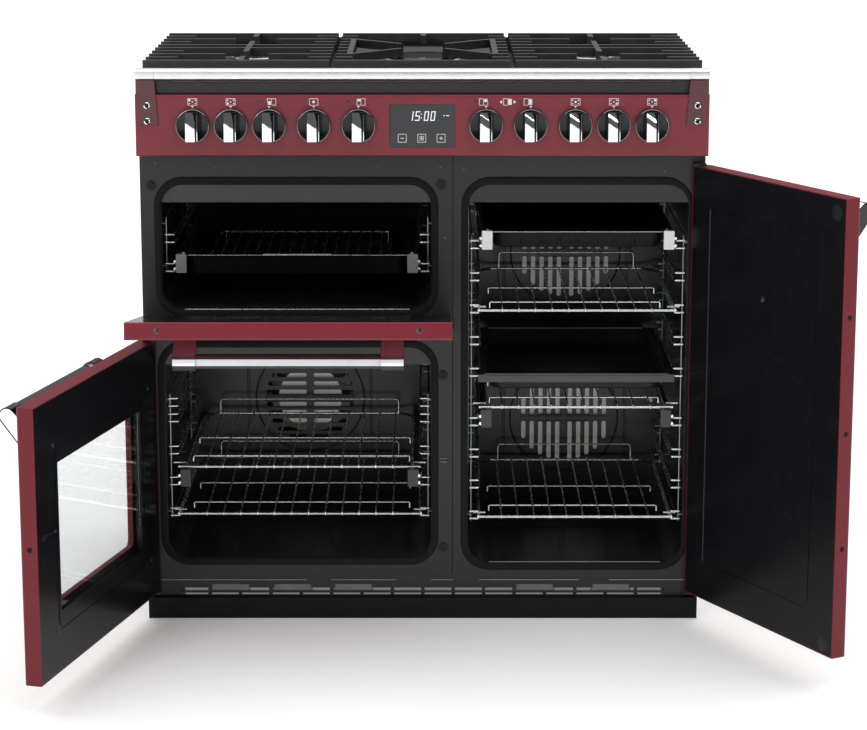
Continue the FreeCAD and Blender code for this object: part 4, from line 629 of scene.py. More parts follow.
# ---- pans ----
def pan_part(x0, x1, y0, y1, rim_z, depth, wall_in, taper, front_in=9.0 * MM, back_in=12.0 * MM):
    """Pressed pan with a rolled flat rim and tapering walls."""
    thick = 1.5 * MM
    floor = rim_z - depth

    def ring(grow, radius, z, lean=0.0):
        a0, a1 = x0 + wall_in * grow + lean, x1 - wall_in * grow - lean
        b0, b1 = y0 + front_in * grow + lean, y1 - back_in * grow - lean
        return [Vector((a, b, z)) for a, b in round_rect(a0, a1, b0, b1, radius, 6)]

    rings = [ring(1, 14 * MM, floor, taper + 8 * MM), ring(1, 18 * MM, floor, taper + 3 * MM),
             ring(1, 20 * MM, floor + 3 * MM, taper), ring(1, 20 * MM, rim_z - 1 * MM, 0),
             ring(0, 12 * MM, rim_z, 1 * MM), ring(0, 12 * MM, rim_z + 0.4 * MM, 0),
             ring(0, 12 * MM, rim_z + thick - 0.3 * MM, 0), ring(0, 12 * MM, rim_z + thick, 0.6 * MM),
             ring(1, 18 * MM, rim_z + thick, thick * 0.4), ring(1, 18 * MM, rim_z + 0.3 * MM, thick),
             ring(1, 18 * MM, floor + thick + 3 * MM, taper + thick),
             ring(1, 16 * MM, floor + thick, taper + thick + 3 * MM),
             ring(1, 14 * MM, floor + thick, taper + thick + 8 * MM)]
    return loft(rings)


def rib(x, y, z0, z1, radius, outward):
    """Half-round upright rib on a pan wall."""
    outline = [(x + radius * math.cos(math.radians(t)),
                y + outward * radius * 0.5 * math.sin(math.radians(t)))
               for t in range(0, 181, 30)]
    return prism("Z", outline, z0, z1)


def painted_rim_highlight(name, x0, x1, rim_z, body):
    """Chrome line along the front rim of a pan: a painted highlight."""
    z = rim_z + 1.2 * MM
    wires(name, [[Vector((x0 + 12 * MM, SHELF_FRONT + 0.3 * MM, z)),
                  Vector((x1 - 12 * MM, SHELF_FRONT + 0.3 * MM, z))]],
          0.5 * MM, WIRE, body)


RACK_SINK = 9.0 * MM
RACK_INSET = 24.0 * MM


def grill_pan():
    """Grill pan on its runners, with its rack and front grip."""
    rung = RUNGS["grill"][0]
    rim = GRILL[2] + rung * MM + RAIL_Z[1] + 0.3 * MM
    x0, x1 = GRILL[0] + CARRIED_INSET, GRILL[1] - CARRIED_INSET
    body = "grill_pan_carriage"
    pan = pan_part(x0, x1, SHELF_FRONT, SHELF_BACK, rim, 32 * MM, 9.5 * MM, 5 * MM)
    solid("grill_pan_dish", [pan], ENAMEL, body, ["grill_pan"])
    painted_rim_highlight("grill_pan_rim_line", x0, x1, rim, body)
    slides("grill_slides", GRILL, rung, body, BLOCK, 31.0 * MM, ["grill_pan_runners"])
    middle = (x0 + x1) / 2
    grip = prism("Z", round_rect(middle - 56 * MM, middle + 56 * MM, SHELF_FRONT, SHELF_FRONT + 7 * MM,
                                 3 * MM), rim + 1.4 * MM, rim + 3.2 * MM)
    solid("grill_pan_grip", [grip], BRUSHED, body, rounding=0.6 * MM)
    low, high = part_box("grill_pan_rack")
    z = high.z - RACK_SINK
    low, high = low + Vector((RACK_INSET, 0, 0)), high - Vector((RACK_INSET, 0, 0))
    r = 1.9 * MM
    frame_path = bend([(low.x + r, low.y + r, z), (high.x - r, low.y + r, z), (high.x - r, high.y - r, z),
                       (low.x + r, high.y - r, z)], 12 * MM, closed=True)
    legs = [[Vector((x, y, low.z)), Vector((x, y, z))] for x in (low.x + 9 * MM, high.x - 9 * MM)
            for y in (low.y + r, high.y - r)]
    wires("grill_rack_frame", [frame_path], r, WIRE, body, ["grill_pan_rack"],
          closed=True)
    wires("grill_rack_legs", legs, 1.6 * MM, WIRE, body)
    count = 15
    bars = []
    for i in range(count):
        x = low.x + (high.x - low.x) * (i + 1) / (count + 1)
        bars.append([Vector((x, low.y + r, z + 0.6 * MM)), Vector((x, high.y - r, z + 0.6 * MM))])
    wires("grill_rack_bars", bars, 1.4 * MM, WIRE, body)


def tall_tray():
    """Ribbed black tray on the top runners."""
    rung = RUNGS["tall"][8]
    rim = TALL[2] + rung * MM + RAIL_Z[1] + 0.3 * MM
    x0, x1 = TALL[0] + CARRIED_INSET, TALL[1] - CARRIED_INSET
    parts = [pan_part(x0, x1, SHELF_FRONT, SHELF_BACK, rim, 26 * MM, 9.5 * MM, 4 * MM)]
    for i in range(9):
        x = x0 + (x1 - x0) * (i + 1) / 10
        parts.append(rib(x, SHELF_FRONT + 11.5 * MM, rim - 22 * MM, rim - 3 * MM, 3 * MM, -1))
        parts.append(rib(x, SHELF_BACK - 17.0 * MM, rim - 22 * MM, rim - 2 * MM, 4 * MM, -1))
    solid("tall_tray_dish", parts, PLINTH_BLACK, "tall_tray", ["tall_tray"])
    painted_rim_highlight("tall_tray_rim_line", x0, x1, rim, "tall_tray")
    # Pale runner blocks: painted light on the top tray's runners.
    slides("tall_tray_slides", TALL, rung, "tall_tray", BLOCK_LIT_PAINTED, 31.0 * MM)


def roasting_tin():
    """Tin on the rungs below the upper shelf, with a bead along its rear rim."""
    inset = 16.5 * MM
    rim = TALL[2] + RUNGS["tall"][4] * MM + 2.8 * MM
    x0, x1 = TALL[0] + inset, TALL[1] - inset
    parts = [pan_part(x0, x1, SHELF_FRONT, SHELF_BACK, rim, 25 * MM, 14 * MM, 6 * MM)]
    solid("roasting_tin_dish", parts, CAVITY_ENAMEL, "roasting_tin", ["roasting_tin"])
    apron = brick(x0, x1, SHELF_FRONT, SHELF_FRONT + 1.4 * MM, rim - 11 * MM, rim + 1.6 * MM)
    solid("roasting_tin_apron", [apron], TIN_ENAMEL, "roasting_tin", rounding=0.5 * MM)
    # Pale zinc beads along the rims: a painted highlight.
    z = rim + 1.5 * MM
    beads = [[Vector((x0 + 24 * MM, y, z)), Vector((x1 - 24 * MM, y, z))]
             for y in (SHELF_BACK - 3 * MM, SHELF_BACK - 9 * MM)]
    beads.append([Vector((x0 + 10 * MM, SHELF_FRONT + 3 * MM, z)),
                  Vector((x1 - 10 * MM, SHELF_FRONT + 3 * MM, z))])
    wires("roasting_tin_beads", beads, 1.1 * MM, ZINC, "roasting_tin")


# ---- oven walls and frame details ----
def opening_ring(space, left, right, top, bottom, grow):
    """Rounded outline round an opening, each side moved out by its own amount."""
    x0, x1, z0, z1 = space
    return round_rect(x0 - left - grow, x1 + right + grow, z0 - bottom - grow, z1 + top + grow,
                      CAVITY_R + min(left, top) + grow, 8)


def seals():
    """Flat rope seal with rounded edges round each opening."""
    parts = []
    depth = 2.4 * MM
    for space, right in ((GRILL, 11.5 * MM), (LEFT, 11.5 * MM), (TALL, 7.2 * MM)):
        outer = opening_ring(space, 11.5 * MM, right, 13 * MM, 11.5 * MM, 0)
        edge = opening_ring(space, 11.5 * MM, right, 13 * MM, 11.5 * MM, -2 * MM)
        inner = opening_ring(space, 0.5 * MM, 0.5 * MM, 0.5 * MM, 0.5 * MM, 0)
        inner_edge = opening_ring(space, 0.5 * MM, 0.5 * MM, 0.5 * MM, 0.5 * MM, 2 * MM)
        count = len(outer)
        levels = [(outer, FRAME_Y), (outer, FRAME_Y - 1.2 * MM), (edge, FRAME_Y - depth),
                  (inner_edge, FRAME_Y - depth), (inner, FRAME_Y - 1.2 * MM), (inner, FRAME_Y)]
        points = [Vector((a, y, b)) for ring, y in levels for a, b in ring]
        faces = []
        for band in range(len(levels)):
            low, high = band * count, ((band + 1) % len(levels)) * count
            faces += [(low + i, low + (i + 1) % count, high + (i + 1) % count, high + i)
                      for i in range(count)]
        parts.append((points, faces))
    solid("opening_seals", parts, SEAL, "chassis", ["door_seals"], smooth=60.0)


def lips():
    """Folded lip along the bottom edge of each cavity mouth."""
    # Chrome, enamel and zinc on the same fold paint a brighter or fainter highlight in each oven.
    for name, space, material in (("grill", GRILL, WIRE), ("left", LEFT, ENAMEL), ("tall", TALL, ZINC)):
        x0, x1, z0 = space[:3]
        y, z = FRAME_Y + 3 * MM, z0 + 0.9 * MM
        wires(name + "_cavity_lip", [[Vector((x0 + CAVITY_R, y, z)), Vector((x1 - CAVITY_R, y, z))]],
              0.9 * MM,
              material, "chassis")


def wall_details():
    """Painted shade lines in the creases and groove on the rear walls and floors, and lamp bosses."""
    crease_shade, spots = [], []
    for space, xs in ((LEFT, (-310.0, -93.0)), (TALL, (142.0, 357.0))):
        for x in xs:
            for shift in (-1.8, 1.8):
                a = (x + shift) * MM
                crease_shade.append(brick(a - 0.6 * MM, a + 0.6 * MM, GUARD_Y - 1.0 * MM, GUARD_Y + 0.2 * MM,
                                     space[2] + 45 * MM, space[3] - 40 * MM))
    x0, x1, z0, z1 = TALL
    crease_shade.append(brick(x0 + 50 * MM, x1 - 50 * MM, FRONT + 250 * MM, FRONT + 254 * MM, z0 - 0.1 * MM,
                         z0 + 0.7 * MM))
    for z in (z0 + 178 * MM, z0 + 247 * MM):
        spots.append(lathe(sized((0, 0), (4.5, 0), (4.5, 2), (3.4, 3.0), (0, 3.4)),
                           (x1 - 22 * MM, GUARD_Y, z), (0, -1, 0), 24))
    # Black strips: painted shade in the creases and the floor groove.
    solid("wall_creases", crease_shade, PLINTH_BLACK, "chassis")
    # Lamp bosses carry the same painted glow.
    solid("lamp_bosses", spots, ALUMINISED_PAINTED_GLOW, "chassis")


FAN_SITES = [(JOINTS[name]["pos_m"][0], JOINTS[name]["pos_m"][2])
             for name in ("fan_left_spin", "fan_tall_lower_spin", "fan_tall_upper_spin")]


def fan_plates():
    """Aluminised air ring behind each slotted guard, open at its middle, with a glow painted on as if lit by
    the oven lamp.
    """
    parts = []
    for x, z in FAN_SITES:
        def circle(radius):
            return [(x + radius * math.cos(math.tau * i / 48), z + radius * math.sin(math.tau * i / 48))
                    for i in range(48)]
        reach = 84 * MM if x > 0 else 56 * MM
        parts.append(hoop("Y", circle(reach), circle(9 * MM), GUARD_Y + 8 * MM, GUARD_Y + 9.5 * MM))
    solid("fan_air_rings", parts, ALUMINISED_PAINTED_GLOW, "chassis")
    # Black rings and pills on each guard: painted shade along its pressed grooves.
    groove_shade = []
    for x, z in FAN_SITES:
        ring = [[(x + r * MM * math.cos(math.tau * i / 72), z + r * MM * math.sin(math.tau * i / 72))
                 for i in range(72)] for r in (97.3, 94.4)]
        groove_shade.append(hoop("Y", *ring, GUARD_Y - 0.3 * MM, GUARD_Y + 0.2 * MM))
        half = (80.0 if x < 0 else 47.0) * MM
        pill = [round_rect(x - half + g, x + half - g, z - 7 * MM + g, z + 7 * MM - g, 7 * MM - g, 8)
                for g in (0.0, 1.6 * MM)]
        groove_shade.append(hoop("Y", *pill, GUARD_Y - 0.4 * MM, GUARD_Y + 0.2 * MM))
    solid("guard_grooves", groove_shade, PLINTH_BLACK, "chassis")


def screw_part(spot, axis, radius, proud):
    """Domed screw head with a recess."""
    profile = [(0, -0.5 * MM), (radius, -0.5 * MM), (radius, proud * 0.4), (radius * 0.75, proud),
               (radius * 0.42, proud),
               (radius * 0.36, proud * 0.15), (0, proud * 0.15)]
    return lathe(profile, spot, axis, 20)


COLUMN_X = 48.5 * MM


FRAME_SCREWS = ((-331, 745), (-70, 745), (29, 746), (-424, 752), (36, 632), (66, 742), (116, 739), (385, 739))
FRAME_PADS = ((-432, 716), (30, 718), (33, 407), (33, 118))
LEDGE_SPANS = ((-433, -190), (-150, -44), (14, 50), (93, 256), (306, 440))
CATCH_SPOTS = ((34, 262), (34, 268))


def frame_screws():
    """Small screws, round pads and catches on the front frame."""
    y = FRAME_Y
    screws = [screw_part((x * MM, y, z * MM), (0, -1, 0), 2.2 * MM, 0.9 * MM)
              for x, z in FRAME_SCREWS]
    pads = []
    for x, z in FRAME_PADS:
        centre = (x * MM, y, z * MM)
        profile = sized((0, -0.3), (8, -0.3), (8, 1.2), (7, 2.0), (3, 2.0), (2.4, 1.0), (0, 1.0))
        pads.append(lathe(profile, centre, (0, -1, 0), 28))
    solid("frame_screws", screws, SCREW, "chassis")
    solid("frame_pads", pads, MATTE_BLACK, "chassis")
    low = FRAME_LOW.z
    ledges = []
    for x0, x1 in LEDGE_SPANS:
        ledges.append(brick(x0 * MM, x1 * MM, y - 1.2 * MM, y + 0.3 * MM, low + 26.6 * MM, low + 27.8 * MM))
    solid("vent_ledges", ledges, ZINC, "chassis", rounding=0.3 * MM)
    split = brick(COLUMN_X - 0.7 * MM, COLUMN_X + 0.7 * MM, y - 0.25 * MM, y + 0.3 * MM, low + 38 * MM,
                  FRAME_HIGH.z - 24 * MM)
    solid("column_split", [split], PLINTH_BLACK, "chassis")
    catches = []
    for x, z in CATCH_SPOTS:
        catches.append(prism("Y", round_rect((x - 6) * MM, (x + 6) * MM, (z - 1.4) * MM, (z + 1.4) * MM,
                                             1.2 * MM, 3),
                             y - 1.6 * MM, y + 0.3 * MM))
    solid("door_catches", catches, SCREW, "chassis", rounding=0.4 * MM)


# ---- door details ----
def place_on(matrix, parts):
    """Parts of a closed door carried to its rest position."""
    return [moved(part, matrix) for part in parts]


def right_door_details():
    """Round pads, stud, screw holes and screws of the tall door."""
    low, high = RIGHT_SHUT
    inner = high.y
    free = low.x
    pads = [lathe(sized((0, -0.3), (12, -0.3), (12, 0.25), (11, 0.5), (0, 0.5)),
                  (free + 22 * MM, inner, z), (0, 1, 0), 32) for z in (low.z + 18 * MM, high.z - 23 * MM)]
    stud = lathe(sized((0, -0.3), (6.5, -0.3), (6.5, 1.5), (4, 2.6), (0, 2.8)),
                 (free + 202 * MM, inner, low.z + 522 * MM), (0, 1, 0), 24)
    holes = [lathe(sized((0, -0.2), (4.2, -0.2), (4.2, 0.2), (3.0, 0.4), (0, 0.4)),
                   (free, low.y + 14 * MM, low.z + z * MM), (-1, 0, 0), 20) for z in (526, 349, 171)]
    # Satin bead in the hinge-side groove: a painted highlight along the pressing.
    bead = [RIGHT_SWING @ Vector((high.x - 54 * MM, inner - 0.2 * MM, z))
            for z in (low.z + 64 * MM, high.z - 64 * MM)]
    wires("right_door_press_bead", [bead], 1.3 * MM, SATIN, "right_door")
    body, slot = "right_door", "red_enamel"
    solid("right_door_pads", place_on(RIGHT_SWING, pads), MATTE_BLACK, body)
    solid("right_door_stud", place_on(RIGHT_SWING, [stud]), SCREW, body)
    solid("right_door_edge_screws", place_on(RIGHT_SWING, holes), PLINTH_BLACK, body)
    tops = [screw_part((x, low.y + 12 * MM, high.z), (0, 0, 1), 3.4 * MM, 0.7 * MM)
            for x in (free + 70 * MM, high.x - 80 * MM)]
    solid("right_door_top_screws", place_on(RIGHT_SWING, tops), RED, body)


def left_door_details():
    """Screws, latch hole and edge screw of the window door."""
    low, high = LEFT_SHUT
    inner, free = high.y, high.x
    screws = [screw_part((x, inner, z), (0, 1, 0), 3.0 * MM, 1.2 * MM)
              for x in (free - 67 * MM, low.x + 44 * MM) for z in (low.z + 349.5 * MM, low.z + 64 * MM)]
    screws.append(screw_part((free - 68 * MM, inner, low.z + 219 * MM), (0, 1, 0), 2.6 * MM, 1.2 * MM))
    latch_z = low.z + 220 * MM
    latch = [prism("Y", round_rect(free - 36 * MM, free - 20 * MM, latch_z - 4 * MM, latch_z + 4 * MM,
                                   3 * MM, 4),
                   inner - 0.4 * MM, inner + 0.5 * MM),
             brick(free - 64 * MM, free - 36 * MM, inner - 0.3 * MM, inner + 0.4 * MM, latch_z - 1 * MM,
                   latch_z + 1 * MM)]
    hole = [lathe(sized((0, -0.2), (4.4, -0.2), (4.4, 0.3), (0, 0.3)),
                  (free - 22 * MM, inner, low.z + 187 * MM), (0, 1, 0), 24)]
    edge = lathe(sized((0, -0.2), (4.2, -0.2), (4.2, 0.3), (0, 0.4)),
                 (free, low.y + 15 * MM, low.z + 208 * MM), (1, 0, 0), 20)
    body = "left_door"
    solid("left_door_screws", place_on(LEFT_SWING, screws), SCREW, body)
    solid("left_door_latch", place_on(LEFT_SWING, latch), SCREW, body, rounding=0.3 * MM)
    solid("left_door_latch_hole", place_on(LEFT_SWING, hole), PLINTH_BLACK, body)
    solid("left_door_edge_screw", place_on(LEFT_SWING, [edge]), PLINTH_BLACK, body)


def grill_door_details():
    """Two screws in the top edge, which faces forward when the door is down."""
    low, high = GRILL_SHUT
    screws = [screw_part((x, low.y + 14 * MM, high.z), (0, 0, 1), 4.6 * MM, 0.7 * MM)
              for x in (low.x + 49 * MM, high.x - 49 * MM)]
    solid("grill_door_screws", place_on(GRILL_SWING, screws), SCREW, "grill_door")


HANDLE_REACH = 47.0 * MM
NOSE_R = 13.0 * MM
HANDLE_FALL = 28.0 * MM
HANDLE_FOOT = 76.0 * MM
BRACKET_W = 34.5 * MM
BAR_THICK = 22.0 * MM
BAND_PROUD = 0.2 * MM
# Handle bands going out from the door face: painted red reflection of the door, painted highlight, painted
# dark reflection.
BANDS = ((0.0, -29.4, "root"), (-29.4, -39.0, "bright"), (-39.0, -47.0, "dark"))


def touch_angle(centre, radius, point, side):
    """Angle at which a line from an outside point touches a circle."""
    dy, dz = point[0] - centre[0], point[1] - centre[1]
    return math.atan2(dz, dy) + side * math.acos(radius / math.hypot(dy, dz))


def wing(face, top, inset):
    """Section of a handle end: round nose and two straight flanks, shrunk by an inset."""
    centre = (face - HANDLE_REACH + NOSE_R, top - NOSE_R)
    upper = (face, top - HANDLE_FALL - inset * 1.2)
    lower = (face, top - HANDLE_FOOT + inset * 1.5)
    radius = NOSE_R - inset
    start = touch_angle(centre, radius, upper, 1)
    end = touch_angle(centre, radius, lower, -1) + math.tau
    steps = 24
    arc = []
    for i in range(steps + 1):
        turn = start + (end - start) * i / steps
        arc.append((centre[0] + radius * math.cos(turn), centre[1] + radius * math.sin(turn)))
    return [upper, *arc, lower]


def stretch_of(path, y_from, y_to):
    """Part of a path between two depths, the depth falling along it."""
    inside = []
    for (ya, za), (yb, zb) in zip(path, path[1:]):
        if yb >= ya:
            break
        for y in (y_from, y_to):
            if yb <= y < ya:
                inside.append((y, za + (zb - za) * (ya - y) / (ya - yb)))
        if y_to < yb < y_from:
            inside.append((yb, zb))
    return sorted(inside, reverse=True)


def skin(path, x0, x1):
    """Thin facing laid along a path."""
    outer = []
    for k, (y, z) in enumerate(path):
        before, after = path[max(k - 1, 0)], path[min(k + 1, len(path) - 1)]
        dy, dz = after[0] - before[0], after[1] - before[1]
        size = math.hypot(dy, dz)
        outer.append((y + dz / size * BAND_PROUD, z - dy / size * BAND_PROUD))
    return prism("X", outer + path[::-1], x0, x1)


def facings(matrix, body, face, profiles):
    """Painted reflection bands along the upper side of a handle: red reflection of the door, highlight, dark
    reflection.
    """
    made = {"root": [], "bright": [], "dark": []}
    for path, x0, x1 in profiles:
        for y_from, y_to, kind in BANDS:
            piece = stretch_of(path, face + y_from * MM + 0.01 * MM, face + y_to * MM)
            if len(piece) > 1:
                made[kind].append(skin(piece, x0, x1))
    # Each band gets its painted reflection colour.
    for kind, finish in (("root", RED_REFLECTION_PAINT), ("bright", HIGHLIGHT_PAINT), ("dark", DARK_REFLECTION_PAINT)):
        solid(body + "_handle_" + kind, place_on(matrix, made[kind]), finish, body, smooth=30.0)


def handle(matrix, body, faced):
    """Chrome bar between two end brackets, with a strip behind the bar."""
    node = body + "_handle"
    low, high = shut_box(node, matrix)
    face, top = high.y, high.z
    section = wing(face, top, 0.0)
    ends = ((low.x, low.x + BRACKET_W), (high.x - BRACKET_W, high.x))
    front, back = face - HANDLE_REACH, face - HANDLE_REACH + BAR_THICK
    corners = [(front + 2 * MM, top - 2 * MM), (back, top - 6 * MM), (back, top - 26 * MM),
               (front + 6 * MM, top - 24 * MM)]
    rounded = bend([(0, y, z) for y, z in corners], [9 * MM, 0.5 * MM, 0.5 * MM, 7 * MM], closed=True,
                   steps=6)
    bar = [(p.y, p.z) for p in rounded]
    strip = [(back + 0.1 * MM, top - 6 * MM), (back + 3 * MM, top - 6.6 * MM), (back + 3 * MM, top - 26 * MM),
             (back + 0.1 * MM, top - 26 * MM)]
    metal = [prism("X", section, *span) for span in ends]
    metal.append(prism("X", bar, ends[0][1], ends[1][0]))
    solid(node + "_metal", place_on(matrix, metal), CHROME, body, [node], rounding=0.6 * MM,
          smooth=30.0)
    enamel = [prism("X", strip, ends[0][1], ends[1][0])]
    solid(node + "_strip", place_on(matrix, enamel), PLINTH_BLACK, body)
    seams = [hoop("X", wing(face, top, -0.1 * MM), wing(face, top, 1.9 * MM), x - 0.15 * MM, x + 0.15 * MM)
             for x in (low.x, high.x, ends[0][1], ends[1][0])]
    solid(node + "_seams", place_on(matrix, seams), PLINTH_BLACK, body)
    if body == "right_door":
        # Dark end plate on the handle: a painted dark reflection.
        cap = prism("X", wing(face, top, 0.6 * MM), low.x - 0.1 * MM, low.x + 0.2 * MM)
        solid(node + "_cap", place_on(matrix, [cap]), DARK_REFLECTION_PAINT, body)
    if faced:
        crown = sorted([spot for spot in bar if spot[1] > top - 12 * MM], reverse=True)
        profiles = [(section, *span) for span in ends] + [(crown, ends[0][1], ends[1][0])]
        facings(matrix, body, face, profiles)


# ---- front rail, control panel and controls ----
CAP_W = 30.0 * MM
RAIL_H = 16.0 * MM
RAIL_LOW_Z = RAIL_HIGH.z - RAIL_H
RAIL_D = 24.0 * MM


def rail_outline(grow):
    """Rounded section of the rail across Y and Z."""
    z0, z1 = RAIL_HIGH.z - RAIL_H, RAIL_HIGH.z
    y0, y1 = FRONT, FRONT + RAIL_D
    points = []
    for cy, cz, radius, start in ((y0 + 2.2 * MM, z0 + 2.2 * MM, 2.2 * MM, 180),
                                  (y1 - 1 * MM, z0 + 1 * MM, 1 * MM, 270),
                                  (y1 - 4 * MM, z1 - 4 * MM, 4 * MM, 0),
                                  (y0 + 7 * MM, z1 - 7 * MM, 7 * MM, 90)):
        for step in range(7):
            turn = math.radians(start + 15.0 * step)
            points.append((cy + (radius - grow) * math.cos(turn), cz + (radius - grow) * math.sin(turn)))
    return points


def front_rail():
    """Chrome rail with seamed end caps and the two screwed end brackets."""
    end = HALF_W - CAP_W
    bar = prism("X", rail_outline(0.15 * MM), -end, end)
    caps = [prism("X", rail_outline(0), *sorted((s * (end + 0.3 * MM), s * HALF_W))) for s in (-1, 1)]
    solid("rail_bar", [bar], RAIL_METAL, "chassis", ["front_rail"], smooth=30.0)
    solid("rail_caps", caps, RAIL_METAL, "chassis", rounding=0.5 * MM, smooth=30.0)
    top = RAIL_HIGH.z - RAIL_H - 1.0 * MM
    low = PANEL_HIGH.z - 48.0 * MM
    plates, screws, holes = [], [], []
    for s in (-1, 1):
        outer, outer_low, inner, inner_low = [HALF_W - v * MM for v in (2.0, 6.5, 31.0, 36.5)]
        outline = [(s * outer_low, low), (s * inner_low, low), (s * inner, top), (s * outer, top)]
        plates.append(prism("Y", outline, FRONT - 2.5 * MM, FRONT))
        for z in (848.5, 824.0):
            spot = Vector((s * 431.0 * MM, FRONT - 2.5 * MM, z * MM))
            screws.append(lathe(sized((3.0, -0.2), (5.8, -0.2), (5.8, 0.8), (4.9, 2.2), (3.4, 2.8),
                                      (3.0, 1.5)), spot,
                                (0, -1, 0), 32, looped=True))
            holes.append(lathe(sized((0, -0.2), (3.1, -0.2), (3.1, 1.2), (0, 1.2)),
                               spot, (0, -1, 0), 24))
    # End brackets in the darker red: painted shade.
    solid("rail_brackets", plates, SHADED_RED_PAINT, "chassis", rounding=0.8 * MM)
    solid("bracket_screws", screws, CHROME, "chassis")
    solid("bracket_screw_sockets", holes, MATTE_BLACK, "chassis")
    # Dark red sheet behind the vent slots: painted shade seen through them.
    backing = brick(-HALF_W + 40 * MM, HALF_W - 40 * MM, FRONT + 11.5 * MM, FRONT + 12.5 * MM,
                    PANEL_HIGH.z + 4 * MM, RAIL_LOW_Z - 1.5 * MM)
    solid("vent_backing", [backing], SHADED_RED_PAINT, "chassis")
    lines = [brick(-HALF_W + 2 * MM, HALF_W - 2 * MM, FRONT + 6.5 * MM, FRONT + 8.5 * MM, z, z + 1.2 * MM)
             for z in (RAIL_LOW_Z - 1.8 * MM, PANEL_HIGH.z + 0.2 * MM)]
    solid("vent_shadow_lines", lines, PLINTH_BLACK, "chassis")


KNOB_R = 26.5 * MM
KNOB_Z = JOINTS["gas_knob_1_turn"]["pos_m"][2]
KNOB_BACK = FRONT - 1.0 * MM
KNOB_FACE = KNOB_BACK - 9.0 * MM
GRIP_REACH = 18.0 * MM
GRIP_W = 20.0 * MM
GRIP_LEN = 47.0 * MM
TAP_XS = [JOINTS["gas_knob_%d_turn" % n]["pos_m"][0] for n in range(1, 6)]
SWITCH_XS = [JOINTS["oven_knob_%d_turn" % n]["pos_m"][0] for n in range(1, 6)]


def grip_cover(x):
    """Chrome face of a grip: upright below, leaning back towards the top, more so on its right."""
    rows, columns = 16, 5
    face = KNOB_FACE - GRIP_REACH
    a0, a1 = x - GRIP_W / 2 + 0.4 * MM, x + GRIP_W / 2 - 5.0 * MM
    half = GRIP_LEN / 2 - 0.8 * MM
    rings = []
    for i in range(rows + 1):
        t = 2 * i / rows - 1
        z = KNOB_Z + half * t
        front = []
        for k in range(columns):
            across = k / (columns - 1)
            lean = max(0.0, t - (0.30 - 0.5 * across)) ** 2 * 5.4 * MM + max(0.0, -0.85 - t) * 8 * MM
            front.append(Vector((a1 + (a0 - a1) * (1 - across), face + lean, z)))
        front.reverse()
        back = face + 9.0 * MM
        rings.append([Vector((a0, back, z)), Vector((a1, back, z)), *front])
    return loft(rings)


def knob(node, x):
    """Gloss black knob with a chrome rim and a chrome-faced bar grip."""
    centre = (x, KNOB_BACK, KNOB_Z)
    skirt = lathe([(5 * MM, 0), (KNOB_R - 0.6 * MM, 0), (KNOB_R, 0.8 * MM), (KNOB_R - 0.4 * MM, 7.6 * MM),
                   (KNOB_R - 2.0 * MM, 9.0 * MM), (KNOB_R - 5.0 * MM, 8.6 * MM), (12 * MM, 7.4 * MM),
                   (0, 7.4 * MM)], centre, (0, -1, 0), 64)
    rim = lathe([(KNOB_R - 1.3 * MM, 8.3 * MM), (KNOB_R - 0.5 * MM, 7.8 * MM), (KNOB_R - 0.3 * MM, 8.4 * MM),
                 (KNOB_R - 0.7 * MM, 8.9 * MM), (KNOB_R - 1.2 * MM, 9.0 * MM)], centre, (0, -1, 0), 64,
                 looped=True)
    face = KNOB_FACE - GRIP_REACH
    z0, z1 = KNOB_Z - GRIP_LEN / 2, KNOB_Z + GRIP_LEN / 2
    side = [(face + 1.2 * MM, z0), (KNOB_FACE + 1.6 * MM, z0), (KNOB_FACE + 1.6 * MM, z1),
            (face + 6.5 * MM, z1),
            (face + 2.4 * MM, z1 - 12 * MM), (face + 1.2 * MM, z1 - 20 * MM)]
    grip = prism("X", side, x - GRIP_W / 2, x + GRIP_W / 2)
    solid(node + "_skirt", [skirt, grip], GLOSS_BLACK, node, [node], rounding=0.8 * MM)
    edge_x = x + GRIP_W / 2
    line = [(face + 0.9 * MM, z0 + 1.5 * MM), (face + 3.5 * MM, z0 + 1.5 * MM),
            (face + 5.0 * MM, z1 - 14 * MM),
            (face + 8.0 * MM, z1 - 1.5 * MM), (face + 6.1 * MM, z1 - 1.5 * MM),
            (face + 2.0 * MM, z1 - 12 * MM),
            (face + 0.9 * MM, z1 - 20 * MM)]
    edge = prism("X", line, edge_x - 2.2 * MM, edge_x - 1.0 * MM)
    solid(node + "_trim", [grip_cover(x), edge], CHROME, node, smooth=30.0)
    solid(node + "_rim", [rim], RIM, node, smooth=30.0)


def knobs():
    for n in range(5):
        knob("gas_knob_%d" % (n + 1), TAP_XS[n])
        knob("oven_knob_%d" % (n + 1), SWITCH_XS[n])


PRINT_T = 0.12 * MM


